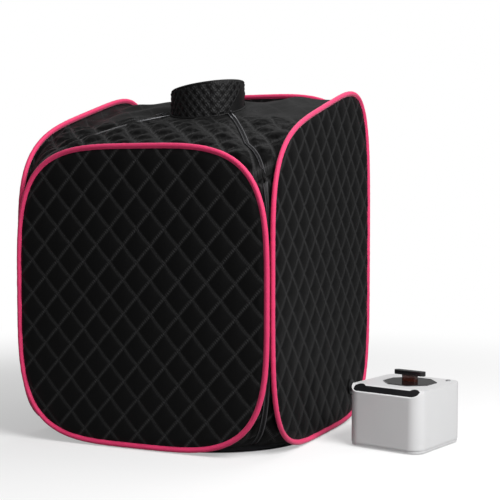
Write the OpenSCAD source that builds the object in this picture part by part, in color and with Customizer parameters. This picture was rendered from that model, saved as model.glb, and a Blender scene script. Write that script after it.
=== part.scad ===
// Portable steam sauna: a pop-up quilted tent with a zip-down front and a neck collar,
// and its free-standing steam generator. X points to the right as seen from the front,
// the front faces -Y, Z is up, and the origin is the centre of the tent's floor.

/* [Tent] */
// Distance from the centre to each side hoop's plane
side_plane_x = 400; // [395:1:410]
// Distance from the centre to the front and rear hoops' planes
end_plane_y = 407; // [405:1:415]
// Thickness of a quilted panel
quilt_t = 8; // [5:1:9]
// Thickness of the waterproof inner liner
liner_t = 1.2; // [0.8:0.1:2]
// Thickness of the single-layer roof and gusset fabric
skin_t = 4; // [3:0.5:6]
// Thickness of the floor mat
mat_t = 3; // [2:0.5:5]

/* [Hoops] */
// Radius of the padded piping around each panel
piping_r = 8.5; // [7:0.5:8.5]
// Radius of the channel inside the piping
channel_r = 3.4; // [3:0.1:4]
// Radius of the spring-steel wire
wire_r = 2.5; // [2:0.1:2.5]
// Half width of the front and rear hoops
end_half_w = 392; // [388:1:394]
// Half height of the front hoop
front_half_h = 418; // [410:1:425]
// Half height of the rear hoop
rear_half_h = 511; // [500:1:520]
// Squareness of the front and rear hoops, 2 is an ellipse
end_square = 3.83; // [3:0.01:5]
// Half depth of each side hoop
side_half_d = 389; // [385:1:391]
// Half height of each side hoop
side_half_h = 479; // [470:1:485]
// Squareness of the side hoops
side_square = 4.33; // [3:0.01:5]
// Rise of the side hoops' top towards the rear, per half depth
side_rise = 0.225; // [0.15:0.005:0.25]

/* [Collar] */
// Outer radius of the neck collar
collar_r = 112; // [100:1:118]
// Wall of the neck collar
collar_wall = 8; // [5:1:10]
// Distance of the collar's centre behind the tent's centre
collar_y = 36; // [25:1:95]
// Height of the rim at the collar's centre
rim_z = 1035; // [1025:1:1060]

/* [Zips] */
// Half of the gap between a zip's two tapes
zip_gap = 1.5; // [1:0.1:2.5]
// Width of one zip tape
tape_w = 6; // [4:0.5:7]
// Thickness of one zip tape
tape_t = 1.2; // [1:0.1:1.4]
// Length of a zip slider
slider_l = 16; // [12:1:20]

/* [Steam inlet] */
// Outer radius of the inlet tube
inlet_r = 15; // [13:0.5:18]
// Radius of the inlet's bore
inlet_bore_r = 12; // [8:0.5:12]
// Distance of the inlet behind the tent's centre
inlet_y = 221; // [150:1:260]
// Height of the inlet
inlet_z = 108; // [90:1:140]

/* [Steam generator] */
// Width of the housing
gen_w = 232; // [220:1:260]
// Depth of the housing
gen_d = 253; // [240:1:270]
// Height of the housing's top
gen_h = 174; // [170:1:180]
// Radius of the housing's upright corners
gen_r = 37; // [34:1:42]
// Wall of the housing
gen_wall = 3; // [2:0.5:4]
// Place of the generator to the right of the tent's centre
gen_x = 652; // [600:1:700]
// Place of the generator behind the tent's centre
gen_y = -18; // [-60:1:40]
// Turn of the generator about the vertical
gen_turn = -12.8; // [-20:0.1:0]
// Radius of the water pot
pot_r = 64; // [58:1:66]

/* [Lid] */
// Width of the eight-sided lid across its flats
lid_w = 142; // [138:1:146]
// Length of the handle's bar
bar_l = 98; // [80:1:110]
// Width of the handle's stem
stem_w = 50; // [40:1:56]

/* [Hidden] */
$fn = 48;

quilt_black = [0.07, 0.07, 0.075];
piping_pink = [0.83, 0.16, 0.36];
liner_grey = [0.55, 0.56, 0.58];
spring_steel = [0.62, 0.62, 0.64];
zip_grey = [0.6, 0.6, 0.62];
shell_white = [0.86, 0.86, 0.87];
gloss_black = [0.03, 0.03, 0.035];
stem_brown = [0.25, 0.1, 0.08];

// ---- hoops ----
hoop_bottom = piping_r + 0.5;
side_mid_z = hoop_bottom + side_half_h;
hoop_steps = 64;

// Power that keeps the sign, for superellipse outlines
function spow(v, e) = sign(v) * pow(abs(v), e);
// Point of the front or rear hoop in its plane; a is measured from the top, shrink moves it inwards
function end_outline(a, half_h, shrink = 0) = [
    (end_half_w - shrink) * spow(sin(a), 2 / end_square),
    hoop_bottom + half_h + (half_h - shrink) * spow(cos(a), 2 / end_square)
];
// Point of a side hoop in its plane, as depth and height
function side_outline(a, shrink = 0) = [
    (side_half_d - shrink) * spow(sin(a), 2 / side_square),
    side_mid_z + (side_half_h - shrink) * spow(cos(a), 2 / side_square)
        * (cos(a) > 0 ? 1 + side_rise * spow(sin(a), 2 / side_square) : 1)
];
function front_point(a) = let (p = end_outline(a, front_half_h)) [p[0], -end_plane_y, p[1]];
function rear_point(a) = let (p = end_outline(a, rear_half_h)) [p[0], end_plane_y, p[1]];
function side_point(a, s) = let (p = side_outline(a)) [s * side_plane_x, p[0], p[1]];
function unit(v) = v / norm(v);

// Solid tube that follows a closed outline in a plane with the given normal
module closed_tube(path, normal, r, sides) {
    n = len(path);
    rings = [for (i = [0 : n - 1])
        let (along = unit(path[(i + 1) % n] - path[(i + n - 1) % n]), out = cross(along, normal))
        for (k = [0 : sides - 1])
            let (a = 360 * (k + 0.5) / sides)
            path[i] + r / cos(180 / sides) * (cos(a) * out + sin(a) * normal)
    ];
    faces = [for (i = [0 : n - 1]) for (k = [0 : sides - 1])
        let (j = (i + 1) % n, m = (k + 1) % sides)
        [i * sides + k, i * sides + m, j * sides + m, j * sides + k]
    ];
    polyhedron(rings, faces, convexity = 8);
}
module piping(path, normal) {
    color(piping_pink) difference() {
        closed_tube(path, normal, piping_r, 8);
        closed_tube(path, normal, channel_r, 6);
    }
}
module hoop(path, normal) {
    color(spring_steel) closed_tube(path, normal, wire_r, 6);
}
steps = [for (i = [0 : hoop_steps - 1]) 360 * i / hoop_steps];
front_path = [for (a = steps) front_point(a)];
rear_path = [for (a = steps) rear_point(a)];
function side_path(s) = [for (a = steps) side_point(a, s)];

// ---- flat panels ----
panel_shrink = piping_r + 1.2;
edge_x = side_plane_x - piping_r - 0.5;
edge_y = end_plane_y - piping_r - 0.5;
liner_inset = quilt_t / 2 + 0.2;
end_normal = [0, 1, 0];
side_normal = [1, 0, 0];

// Plate in a front or rear hoop; from and to are offsets from the hoop's plane along Y
module end_plate(half_h, plane_y, from, to) {
    translate([0, plane_y + to, 0]) rotate([90, 0, 0])
        linear_extrude(to - from)
            polygon([for (a = steps) end_outline(a, half_h, panel_shrink)]);
}
module side_plate(s, from, to) {
    translate([s * side_plane_x + min(s * from, s * to), 0, 0]) rotate([90, 0, 90])
        linear_extrude(to - from)
            polygon([for (a = steps) side_outline(a, panel_shrink)]);
}
module inlet_hole(r) {
    translate([side_plane_x - 40, inlet_y, inlet_z]) rotate([0, 90, 0])
        cylinder(r = r, h = 80);
}
module side_panel(s) {
    color(quilt_black) difference() {
        side_plate(s, -quilt_t / 2, quilt_t / 2);
        if (s > 0) inlet_hole(inlet_r + 0.2);
    }
}
module side_liner(s) {
    color(liner_grey) difference() {
        side_plate(s, -liner_inset - liner_t, -liner_inset);
        if (s > 0) inlet_hole(inlet_r + 0.2);
    }
}
module front_panel() {
    color(quilt_black) end_plate(front_half_h, -end_plane_y, -quilt_t / 2, quilt_t / 2);
}
module rear_panel() {
    color(quilt_black) end_plate(rear_half_h, end_plane_y, -quilt_t / 2, quilt_t / 2);
}
module front_liner() {
    color(liner_grey) end_plate(front_half_h, -end_plane_y, liner_inset, liner_inset + liner_t);
}
module rear_liner() {
    color(liner_grey) end_plate(rear_half_h, end_plane_y, -liner_inset - liner_t, -liner_inset);
}
// Floor cut to clear the soft corners of the tent
module floor_mat() {
    half_x = edge_x;
    half_y = end_plane_y - piping_r - 7;
    square = 2.6;
    color(liner_grey) linear_extrude(mat_t)
        polygon([for (a = steps) [half_x * spow(sin(a), 2 / square), half_y * spow(cos(a), 2 / square)]]);
}
// Plate with round corners, centred on the origin
module rounded_plate(w, d, r, h) {
    for (sx = [-1, 1], sy = [-1, 1])
        translate([sx * (w / 2 - r), sy * (d / 2 - r), 0]) cylinder(r = r, h = h, $fn = 72);
    translate([-w / 2, -d / 2 + r, 0]) cube([w, d - 2 * r, h]);
    translate([-w / 2 + r, -d / 2, 0]) cube([w - 2 * r, d, h]);
}

// ---- roof: a skin stretched between the four hoops' tops ----
corner_lift = 130;
function end_top(x, half_h) = hoop_bottom + half_h
    + half_h * pow(max(0, 1 - pow(min(1, abs(x) / end_half_w), end_square)), 1 / end_square);
function side_top(y) = let (q = max(-1, min(1, y / side_half_d)))
    side_mid_z + side_half_h * pow(1 - pow(abs(q), side_square), 1 / side_square) * (1 + side_rise * q);
function corner_bulge(x, y) = let (u = abs(x) / end_half_w, v = abs(y) / end_plane_y)
    corner_lift * pow(u * v, 4) * (1 - pow(u, 12)) * (1 - pow(v, 12));
// Fullness of the loose roof between the collar and the side hoops
function fullness(x, y) = let (u = (abs(x) - 120) / 280, v = (y + 150) / 557)
    12 * sin(180 * max(0, min(1, u))) * sin(180 * max(0, min(1, v)));
// Height of the skin: each hoop pulls on it in inverse proportion to its distance
function roof_z(x, y) = let (
    w = [for (d = [end_plane_y + y, end_plane_y - y, side_plane_x - x, side_plane_x + x]) 1 / max(d, 1)],
    z = [end_top(x, front_half_h), end_top(x, rear_half_h), side_top(y), side_top(y)]
) (w * z) / (w * [1, 1, 1, 1]) + corner_bulge(x, y) + fullness(x, y);

// Closed sheet from rows of points on its middle surface; toward is its thickness direction
module sheet(rows, toward) {
    n = len(rows);
    m = len(rows[0]);
    top = [for (row = rows) for (p = row) p + toward / 2];
    low = [for (row = rows) for (p = row) p - toward / 2];
    c = n * m;
    function at(i, j) = i * m + j;
    upper = [for (i = [0 : n - 2]) for (j = [0 : m - 2])
        each [[at(i, j), at(i + 1, j + 1), at(i + 1, j)], [at(i, j), at(i, j + 1), at(i + 1, j + 1)]]];
    lower = [for (f = upper) [c + f[2], c + f[1], c + f[0]]];
    walls = [
        for (i = [0 : n - 2]) each [
            [at(i + 1, 0), c + at(i + 1, 0), c + at(i, 0), at(i, 0)],
            [at(i, m - 1), c + at(i, m - 1), c + at(i + 1, m - 1), at(i + 1, m - 1)]
        ],
        for (j = [0 : m - 2]) each [
            [at(0, j), c + at(0, j), c + at(0, j + 1), at(0, j + 1)],
            [at(n - 1, j + 1), c + at(n - 1, j + 1), c + at(n - 1, j), at(n - 1, j)]
        ]
    ];
    polyhedron(concat(top, low), concat(upper, lower, walls), convexity = 10);
}
// Whole roof skin between the hoops, before it is cut into its pieces
module roof_skin() {
    across = 18;
    deep = 20;
    rows = [for (i = [0 : deep]) let (y = -edge_y + 2 * edge_y * i / deep)
        [for (j = [0 : across]) let (x = edge_x - 2 * edge_x * j / across) [x, y, roof_z(x, y)]]];
    sheet(rows, [0, 0, skin_t]);
}
module prism(outline) {
    translate([0, 0, 600]) linear_extrude(600) polygon(outline);
}
module neck_hole() {
    translate([0, collar_y, 700]) cylinder(r = collar_r + 0.3, h = 500, $fn = 96);
}

// Corner where the roof ends and the upright gussets start, as an angle on the hoops
shoulder_a = 50;
foot_a = 160;
cut_x = end_outline(shoulder_a, front_half_h)[0];
cut_y = side_outline(shoulder_a)[0];

// Zip line over the roof, from the collar to the shoulder
zip_start = [105, -27];
zip_bend = [290, -311];
zip_end = [370, -376];
fold_end = [215, -edge_y];
fold_zip = [306, -324];
function zip_line(shift) = [
    [zip_start[0] + shift, zip_start[1]], [zip_bend[0] + shift, zip_bend[1]],
    [zip_end[0] + shift, zip_end[1]]
];
function mirror_x(points) = [for (i = [len(points) - 1 : -1 : 0]) [-points[i][0], points[i][1]]];
function mirrored_outline(right) = concat(right, mirror_x(right));

module roof_panel() {
    wedge = concat(zip_line(zip_gap), [[side_plane_x + 40, -end_plane_y - 40]]);
    outline = [[cut_x, edge_y], [edge_x, cut_y], [edge_x, -cut_y], [cut_x, -edge_y]];
    color(quilt_black) difference() {
        intersection() {
            roof_skin();
            prism(mirrored_outline(outline));
        }
        prism(mirrored_outline(wedge));
        neck_hole();
    }
}
module roof_flap() {
    sides = zip_line(-zip_gap);
    outline = [
        [sides[0][0], sides[0][1] - 1], sides[1],
        [fold_zip[0] - zip_gap, fold_zip[1]], [fold_end[0], fold_end[1] + 2]
    ];
    color(quilt_black) difference() {
        intersection() {
            roof_skin();
            prism(mirrored_outline(outline));
        }
        neck_hole();
    }
}

// ---- upright corner gussets ----
gusset_inset = 13.5;
// Middle surface of a corner gusset; w runs from the front or rear hoop (0) to the side hoop (1)
function gusset_point(end_p, side_p, w, s, e) =
    end_p + w * (side_p - end_p) + gusset_inset / sqrt(2) * [-s, -e, 0];
function front_gusset_row(a, s, w0, w1, n) = [for (j = [0 : n])
    gusset_point(front_point(s * a), side_point(-a, s), w0 + (w1 - w0) * j / n, s, -1)];
function rear_gusset_row(a, s, w0, w1, n) = [for (j = [0 : n])
    gusset_point(rear_point(s * a), side_point(a, s), w0 + (w1 - w0) * j / n, s, 1)];
gusset_steps = 22;
gusset_angles = [for (i = [0 : gusset_steps]) shoulder_a + (foot_a - shoulder_a) * i / gusset_steps];
// Share of the strip taken by half the zip's gap at angle a
function gap_share(a, s) = (zip_gap + 0.4) / norm(side_point(-a, s) - front_point(s * a));

module front_gusset(s) {
    rows = [for (a = gusset_angles) front_gusset_row(a, s, 0.5 + gap_share(a, s), 1, 2)];
    color(quilt_black) sheet_outward(rows, s, -1);
}
module rear_gusset(s) {
    rows = [for (a = gusset_angles) rear_gusset_row(a, s, 0, 1, 3)];
    color(quilt_black) sheet_outward(rows, s, 1);
}
// Sheet with its thickness along the corner's diagonal, with its faces turned the right way
module sheet_outward(rows, s, e) {
    ordered = s * e < 0 ? rows : [for (i = [len(rows) - 1 : -1 : 0]) rows[i]];
    sheet(ordered, skin_t / sqrt(2) * [s, e, 0]);
}
// Door side of a front corner: the strip beside the zip and the shoulder above it
module door_gusset(s) {
    rows = [for (a = gusset_angles) front_gusset_row(a, s, 0, 0.5 - gap_share(a, s), 2)];
    outline = [
        [fold_end[0] + 3, -edge_y], [fold_zip[0] + 1, fold_zip[1] - 4],
        [zip_end[0] - zip_gap, zip_end[1]], [cut_x, -edge_y]
    ];
    color(quilt_black) {
        sheet_outward(rows, s, -1);
        intersection() {
            roof_skin();
            prism(s > 0 ? outline : mirror_x(outline));
        }
    }
}

// ---- collar ----
seam_a = 31;
rim_slope_x = 0.149;
rim_slope_y = -0.004;
base_slope = (roof_z(0, collar_y + collar_r) - roof_z(0, collar_y - collar_r)) / (2 * collar_r);
base_z = roof_z(0, collar_y) - 12;
// Upright ring between the sloping base and the sloping rim
module collar_ring(r_out, r_in) {
    top = 1400;
    low = 600;
    difference() {
        translate([0, collar_y, low]) cylinder(r = r_out, h = top - low, $fn = 96);
        translate([0, collar_y, low - 1]) cylinder(r = r_in, h = top - low + 2, $fn = 96);
        translate([0, collar_y, rim_z]) slope_cut(rim_slope_x, rim_slope_y, 1);
        translate([0, collar_y, base_z]) slope_cut(0, base_slope, -1);
    }
}
// Half space above (side 1) or below (side -1) a plane through the origin with the given slopes
module slope_cut(slope_x, slope_y, side) {
    reach = 900;
    rotate([atan(slope_y), -atan(slope_x), 0])
        translate([-reach / 2, -reach / 2, side > 0 ? 0 : -reach]) cube([reach, reach, reach]);
}
// Sector of plan angles from one angle to another, centred on the collar
module collar_sector(from, to) {
    reach = 400;
    n = 8;
    translate([0, collar_y, 500]) linear_extrude(1000)
        polygon(concat([[0, 0]], [for (i = [0 : n]) let (a = from + (to - from) * i / n)
            reach * [cos(a), sin(a)]]));
}
module collar_rear() {
    color(quilt_black) intersection() {
        collar_ring(collar_r, collar_r - collar_wall);
        collar_sector(-seam_a + 0.4, 180 + seam_a - 0.4);
    }
}
module collar_front() {
    color(quilt_black) intersection() {
        collar_ring(collar_r, collar_r - collar_wall);
        collar_sector(180 + seam_a + 0.4, 360 - seam_a - 0.4);
    }
}
// Lapped end of the front collar; its free edge slants back from the base to the rim
module collar_tab() {
    lap_from = -62;
    lap_base = -42;
    lap_y = collar_r * sin(lap_base);
    lap_to = 12;
    lap_turn = 74;
    lap_lean = 125.8;
    tab_t = 2.5;
    lift = 20 + base_slope * lap_y;
    reach = 600;
    color(quilt_black) intersection() {
        collar_ring(collar_r + 1 + tab_t, collar_r + 1);
        collar_sector(lap_from, lap_to);
        translate([-collar_r * 2, -collar_r * 2, base_z + lift]) cube([collar_r * 4, collar_r * 4, 400]);
        translate([collar_r * cos(lap_base), collar_y + lap_y, base_z + base_slope * lap_y])
            rotate([0, lap_lean, lap_turn])
                translate([-reach / 2, -reach / 2, -reach]) cube([reach, reach, reach]);
    }
}

// ---- zip tapes ----
tape_clear = 1.6;
tape_rise = skin_t / 2 + tape_t / 2 + tape_clear;
// Line through the points with n steps to each stretch
function along(points, n) = [for (i = [0 : len(points) - 2]) for (j = [0 : n - 1])
    points[i] + (points[i + 1] - points[i]) * j / n];
// Rows of a ribbon that lies along a line on the roof, from offset x0 to x1
function roof_ribbon(line, s, x0, x1) = [for (p = line) [for (x = [x0, x1])
    let (px = s * (p[0] + x)) [px, p[1], roof_z(px, p[1]) + tape_rise]]];
// Share of the gusset's width taken by a distance at angle a
function width_share(d, a, s) = d / norm(side_point(-a, s) - front_point(s * a));
tape_angles = [for (i = [1 : gusset_steps - 1]) gusset_angles[i]];
function tape_row(a, s, d0, d1) = [for (d = [d0, d1])
    gusset_point(front_point(s * a), side_point(-a, s), 0.5 + width_share(d, a, s), s, -1)
        + tape_rise / sqrt(2) * [s, -1, 0]];
module roof_tape(line, s, x0, x1) {
    rows = roof_ribbon(line, s, min(x0, x1), max(x0, x1));
    sheet(s > 0 ? [for (i = [len(rows) - 1 : -1 : 0]) [rows[i][1], rows[i][0]]]
        : [for (i = [len(rows) - 1 : -1 : 0]) [rows[i][0], rows[i][1]]], [0, 0, tape_t]);
}
module corner_tape(s, d0, d1) {
    rows = [for (a = tape_angles) tape_row(a, s, d0, d1)];
    ordered = s > 0 ? rows : [for (i = [len(rows) - 1 : -1 : 0]) rows[i]];
    sheet(ordered, tape_t / sqrt(2) * [s, -1, 0]);
}
upper_line = along([zip_start, zip_bend, fold_zip], 9);
whole_line = along([zip_start, zip_bend, zip_end + [-8, 10]], 9);
module zip_tape(s) {
    color(zip_grey) {
        roof_tape(whole_line, s, zip_gap, zip_gap + tape_w);
        corner_tape(s, zip_gap + 0.4, zip_gap + 0.4 + tape_w);
    }
}
module flap_tape(s) {
    color(zip_grey) roof_tape(upper_line, s, -zip_gap - tape_w, -zip_gap);
}
module door_tape(s) {
    color(zip_grey) corner_tape(s, -zip_gap - 0.4 - tape_w, -zip_gap - 0.4);
}

// ---- zip sliders ----
// The slider runs straight down the start of the zip's first stretch
slide_from = zip_start + 0.045 * (zip_bend - zip_start);
slide_to = zip_start + 0.27 * (zip_bend - zip_start);
slide_lift = 7;
function on_roof(p) = [p[0], p[1], roof_z(p[0], p[1])];
run = on_roof(slide_to) - on_roof(slide_from);
run_turn = atan2(run[1], run[0]);
run_tilt = atan2(run[2], norm([run[0], run[1]]));
module at_slider(s) {
    mirror([s > 0 ? 0 : 1, 0, 0])
        translate(on_roof(slide_from) + [0, 0, slide_lift])
            rotate([0, 0, run_turn]) rotate([0, -run_tilt, 0]) children();
}
slider_w = 11;
slider_h = 4;
module zip_slider(s) {
    color(zip_grey) at_slider(s) {
        translate([-slider_l / 2, -slider_w / 2, 0]) cube([slider_l, slider_w, slider_h]);
        for (side = [-1, 1]) translate([-1.8, side * 4.2 - 0.9, slider_h]) cube([3.6, 1.8, 3.4]);
        translate([0, 5.1, slider_h + 2]) rotate([90, 0, 0]) cylinder(r = 0.8, h = 10.2, $fn = 24);
    }
}
module zip_pull(s) {
    color(zip_grey) at_slider(s) translate([0, 0, slider_h + 2]) difference() {
        union() {
            rotate([90, 0, 0]) translate([0, 0, -2.9]) cylinder(r = 1.9, h = 5.8, $fn = 24);
            translate([0.6, -2.9, -1.2]) cube([28, 5.8, 2.0]);
        }
        rotate([90, 0, 0]) translate([0, 0, -4]) cylinder(r = 0.85, h = 8, $fn = 24);
    }
}

// ---- steam inlet ----
flange_r = 23;
flange_t = 3;
nut_r = 22;
inlet_in = 16;
inlet_out = 24;
module along_x(x, y, z) {
    translate([x, y, z]) rotate([0, 90, 0]) children();
}
module steam_inlet() {
    outer_face = side_plane_x + quilt_t / 2 + 0.2;
    color(gloss_black) difference() {
        union() {
            along_x(side_plane_x - inlet_in, inlet_y, inlet_z) cylinder(r = inlet_r, h = inlet_in + inlet_out);
            along_x(outer_face, inlet_y, inlet_z) cylinder(r = flange_r, h = flange_t);
        }
        along_x(side_plane_x - inlet_in - 1, inlet_y, inlet_z)
            cylinder(r = inlet_bore_r, h = inlet_in + inlet_out + 2);
    }
}
module inlet_nut() {
    nut_t = 5;
    inner_face = side_plane_x - liner_inset - liner_t - 0.2;
    color(gloss_black) difference() {
        along_x(inner_face - nut_t, inlet_y, inlet_z) cylinder(r = nut_r, h = nut_t);
        along_x(inner_face - nut_t - 1, inlet_y, inlet_z) cylinder(r = inlet_r + 0.05, h = nut_t + 2);
    }
}

// ---- steam generator ----
seam_z = 12;
facet_depth = 32;
facet_drop = 18;
facet_tilt = atan(facet_drop / facet_depth);
pot_x = 5;
pot_y = 18;
mouth_r = pot_r + 1;
lid_recess = 2;
foot_h = 4;
module at_generator() {
    translate([gen_x, gen_y, 0]) rotate([0, 0, gen_turn]) children();
}
// Block with round corners and a sloping facet along its front top edge
module housing_block(inset, low, high) {
    difference() {
        translate([0, 0, low])
            rounded_plate(gen_w - 2 * inset, gen_d - 2 * inset, gen_r - inset, high - low);
        translate([0, -gen_d / 2 + facet_depth, gen_h]) rotate([facet_tilt, 0, 0])
            translate([-gen_w, -2 * facet_depth, -inset]) cube([2 * gen_w, 2.4 * facet_depth, 60]);
    }
}
// Frame on the facet: X along it, Y up the slope, Z out of it
module on_facet(depth) {
    translate([0, -gen_d / 2 + facet_depth / 2, gen_h - facet_drop / 2])
        rotate([facet_tilt, 0, 0]) translate([0, 0, -depth]) children();
}
// Long plate with square upper and round lower corners
module strip_plate(w, h, r, t) {
    translate([-w / 2, -h / 2 + r, 0]) cube([w, h - r, t]);
    translate([-w / 2 + r, -h / 2, 0]) cube([w - 2 * r, r, t]);
    for (s = [-1, 1]) translate([s * (w / 2 - r), -h / 2 + r, 0]) cylinder(r = r, h = t);
}
strip_w = 206;
strip_h = 26;
strip_r = 17;
strip_t = 2.4;
post_x = gen_w / 2 - 24;
post_y = gen_d / 2 - 24;
module at_posts() {
    for (sx = [-1, 1], sy = [-1, 1]) translate([sx * post_x, sy * post_y, 0]) children();
}
outlet_x = -35;
outlet_z = 118;
outlet_r = 10;
outlet_bore_r = 7;
button_x = 84;
button_y = 100;
button_r = 7;
socket_w = 28;
socket_h = 20;
socket_z = 42;
module generator_housing() {
    post_top = 60;
    rib_l = gen_w / 2 - gen_wall - 1 - post_x;
    color(shell_white) at_generator() difference() {
        union() {
            difference() {
                housing_block(0, seam_z, gen_h);
                housing_block(gen_wall, seam_z - 1, gen_h - gen_wall - 0.5);
            }
            at_posts() translate([0, 0, seam_z]) cylinder(r = 5, h = post_top - seam_z);
            for (sx = [-1, 1], sy = [-1, 1])
                translate([sx * (post_x + rib_l / 2), sy * post_y, (seam_z + post_top) / 2])
                    cube([rib_l, 3, post_top - seam_z], center = true);
            translate([pot_x, pot_y, gen_h - 10]) cylinder(r = lid_w / 2 + 10, h = 9);
        }
        at_posts() translate([0, 0, seam_z - 1]) cylinder(r = 1.55, h = 22);
        translate([pot_x, pot_y, gen_h - 20]) cylinder(r = mouth_r, h = 40);
        translate([pot_x, pot_y, gen_h - lid_recess]) rotate([0, 0, 22.5])
            cylinder(r = (lid_w / 2 + 0.8) / cos(22.5), h = 20, $fn = 8);
        on_facet(strip_t) strip_plate(strip_w + 0.6, strip_h + 0.6, strip_r + 0.3, 20);
        translate([outlet_x, gen_d / 2 - 15, outlet_z]) rotate([-90, 0, 0]) cylinder(r = outlet_r + 0.1, h = 20);
        translate([-socket_w / 2, gen_d / 2 - 10, socket_z - socket_h / 2]) cube([socket_w, 20, socket_h]);
        translate([button_x, button_y, gen_h - 20]) cylinder(r = button_r + 0.5, h = 40);
    }
}
module generator_base() {
    inset = 2;
    color(shell_white) at_generator() difference() {
        translate([0, 0, foot_h])
            rounded_plate(gen_w - 2 * inset, gen_d - 2 * inset, gen_r - inset, seam_z - foot_h - 0.2);
        translate([0, 0, foot_h + 3])
            rounded_plate(gen_w - 2 * inset - 6, gen_d - 2 * inset - 6, gen_r - inset - 3, 20);
        at_posts() translate([0, 0, foot_h - 1]) cylinder(r = 1.8, h = 20);
    }
    color(shell_white) at_generator() at_posts() difference() {
        translate([0, 0, foot_h + 3]) cylinder(r = 5, h = seam_z - foot_h - 3.2);
        translate([0, 0, foot_h]) cylinder(r = 1.8, h = 20);
    }
}
module generator_feet() {
    color(gloss_black) at_generator() for (sx = [-1, 1], sy = [-1, 1])
        translate([sx * (gen_w / 2 - 46), sy * (gen_d / 2 - 46), 0]) cylinder(r = 9, h = foot_h);
}
module base_screws() {
    color(spring_steel) at_generator() at_posts() {
        translate([0, 0, foot_h - 2]) cylinder(r = 3.5, h = 2);
        translate([0, 0, foot_h - 1]) cylinder(r = 1.5, h = 24);
    }
}
module control_panel() {
    color(gloss_black) at_generator() on_facet(strip_t - 0.1)
        strip_plate(strip_w, strip_h, strip_r, strip_t);
}
module control_board() {
    color([0.1, 0.35, 0.2]) at_generator() on_facet(12) translate([-85, -7, 0]) cube([170, 15, 1.6]);
}
pot_low = 34;
pot_wall = 1.5;
pipe_r = 5;
flange_low = gen_h - 13.4;
module water_pot() {
    color(spring_steel) at_generator() translate([pot_x, pot_y, 0]) difference() {
        union() {
            translate([0, 0, pot_low]) cylinder(r = pot_r, h = gen_h - 4 - pot_low);
            translate([0, 0, flange_low]) cylinder(r = pot_r + 8, h = 3);
        }
        translate([0, 0, pot_low + pot_wall]) cylinder(r = pot_r - pot_wall, h = gen_h);
        translate([outlet_x - pot_x, 0, outlet_z]) rotate([-90, 0, 0]) cylinder(r = pipe_r + 0.2, h = pot_r);
    }
}
module heating_element() {
    tube_r = 4;
    color(spring_steel) at_generator() translate([pot_x, pot_y, pot_low - tube_r - 0.1])
        rotate_extrude() translate([42, 0]) circle(r = tube_r, $fn = 32);
}
module thermal_cutoff() {
    color(gloss_black) at_generator() translate([pot_x, pot_y, pot_low - 8.1]) cylinder(r = 12, h = 8);
}
module pot_gasket() {
    color(gloss_black) at_generator() translate([pot_x, pot_y, flange_low + 3.05]) difference() {
        cylinder(r = pot_r + 7, h = 0.3);
        translate([0, 0, -1]) cylinder(r = pot_r + 0.3, h = 3);
    }
}
module outlet_pipe() {
    start = pot_y + sqrt(pow(pot_r, 2) - pow(outlet_x - pot_x, 2)) - 4;
    length = gen_d / 2 - 8 - start;
    color([0.75, 0.75, 0.72]) at_generator() translate([outlet_x, start, outlet_z]) rotate([-90, 0, 0])
        difference() {
            cylinder(r = pipe_r, h = length);
            translate([0, 0, -1]) cylinder(r = pipe_r - 1.5, h = length + 2);
        }
}
module steam_outlet() {
    nozzle_out = 26;
    flange_h = 2.5;
    color(gloss_black) at_generator() translate([outlet_x, gen_d / 2, outlet_z]) rotate([-90, 0, 0])
        difference() {
            union() {
                translate([0, 0, -7]) cylinder(r = outlet_r, h = nozzle_out + 7);
                translate([0, 0, 0.05]) cylinder(r = outlet_r + 5, h = flange_h);
            }
            translate([0, 0, -8]) cylinder(r = outlet_bore_r, h = nozzle_out + 9);
        }
}
module power_inlet() {
    color(gloss_black) at_generator() translate([0, gen_d / 2, socket_z]) {
        difference() {
            union() {
                translate([-socket_w / 2 + 0.2, -18, -socket_h / 2 + 0.2])
                    cube([socket_w - 0.4, 19, socket_h - 0.4]);
                translate([-socket_w / 2 - 3, 0.05, -socket_h / 2 - 3]) cube([socket_w + 6, 2, socket_h + 6]);
            }
            translate([-socket_w / 2 + 3, -14, -socket_h / 2 + 3]) cube([socket_w - 6, 20, socket_h - 6]);
        }
        for (x = [-6, 0, 6]) translate([x, -2, x == 0 ? 3 : -2]) rotate([90, 0, 0]) cylinder(r = 1.6, h = 12.1);
    }
}
module power_button() {
    color([0.5, 0.5, 0.52]) at_generator() translate([button_x, button_y, gen_h - 7])
        cylinder(r = button_r, h = 10);
}

// ---- lid and handle ----
lid_low = gen_h - lid_recess + 0.4;
frame_t = 4;
window_t = 3;
window_w = lid_w - 16;
shaft_r = 5;
module at_lid(z) {
    at_generator() translate([pot_x, pot_y, z]) children();
}
module octagon(width, t) {
    rotate([0, 0, 22.5]) cylinder(r = width / 2 / cos(22.5), h = t, $fn = 8);
}
module lid_frame() {
    color(gloss_black) at_lid(lid_low) difference() {
        octagon(lid_w, frame_t);
        translate([0, 0, frame_t - window_t]) octagon(window_w + 0.4, 10);
        translate([0, 0, -1]) cylinder(r = shaft_r + 0.4, h = 20);
    }
}
module lid_window() {
    color([0.1, 0.1, 0.1, 0.6]) at_lid(lid_low + frame_t - window_t + 0.05) difference() {
        octagon(window_w, window_t);
        translate([0, 0, -1]) cylinder(r = shaft_r + 0.4, h = 20);
    }
}
module lid_seal() {
    color([0.7, 0.7, 0.68]) at_lid(lid_low - 4.05) difference() {
        cylinder(r = pot_r - pot_wall - 0.8, h = 4);
        translate([0, 0, -1]) cylinder(r = pot_r - 9, h = 10);
    }
}
stem_low = lid_low + frame_t + 0.45;
stem_h = 18;
bar_h = 12;
bar_d = 22;
module lid_lock() {
    lock_z = lid_low - 9;
    color(spring_steel) at_lid(0) {
        translate([0, 0, lock_z]) cylinder(r = shaft_r, h = stem_low - lock_z);
        translate([-48, -6, lock_z - 3]) cube([96, 12, 3]);
    }
}
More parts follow.
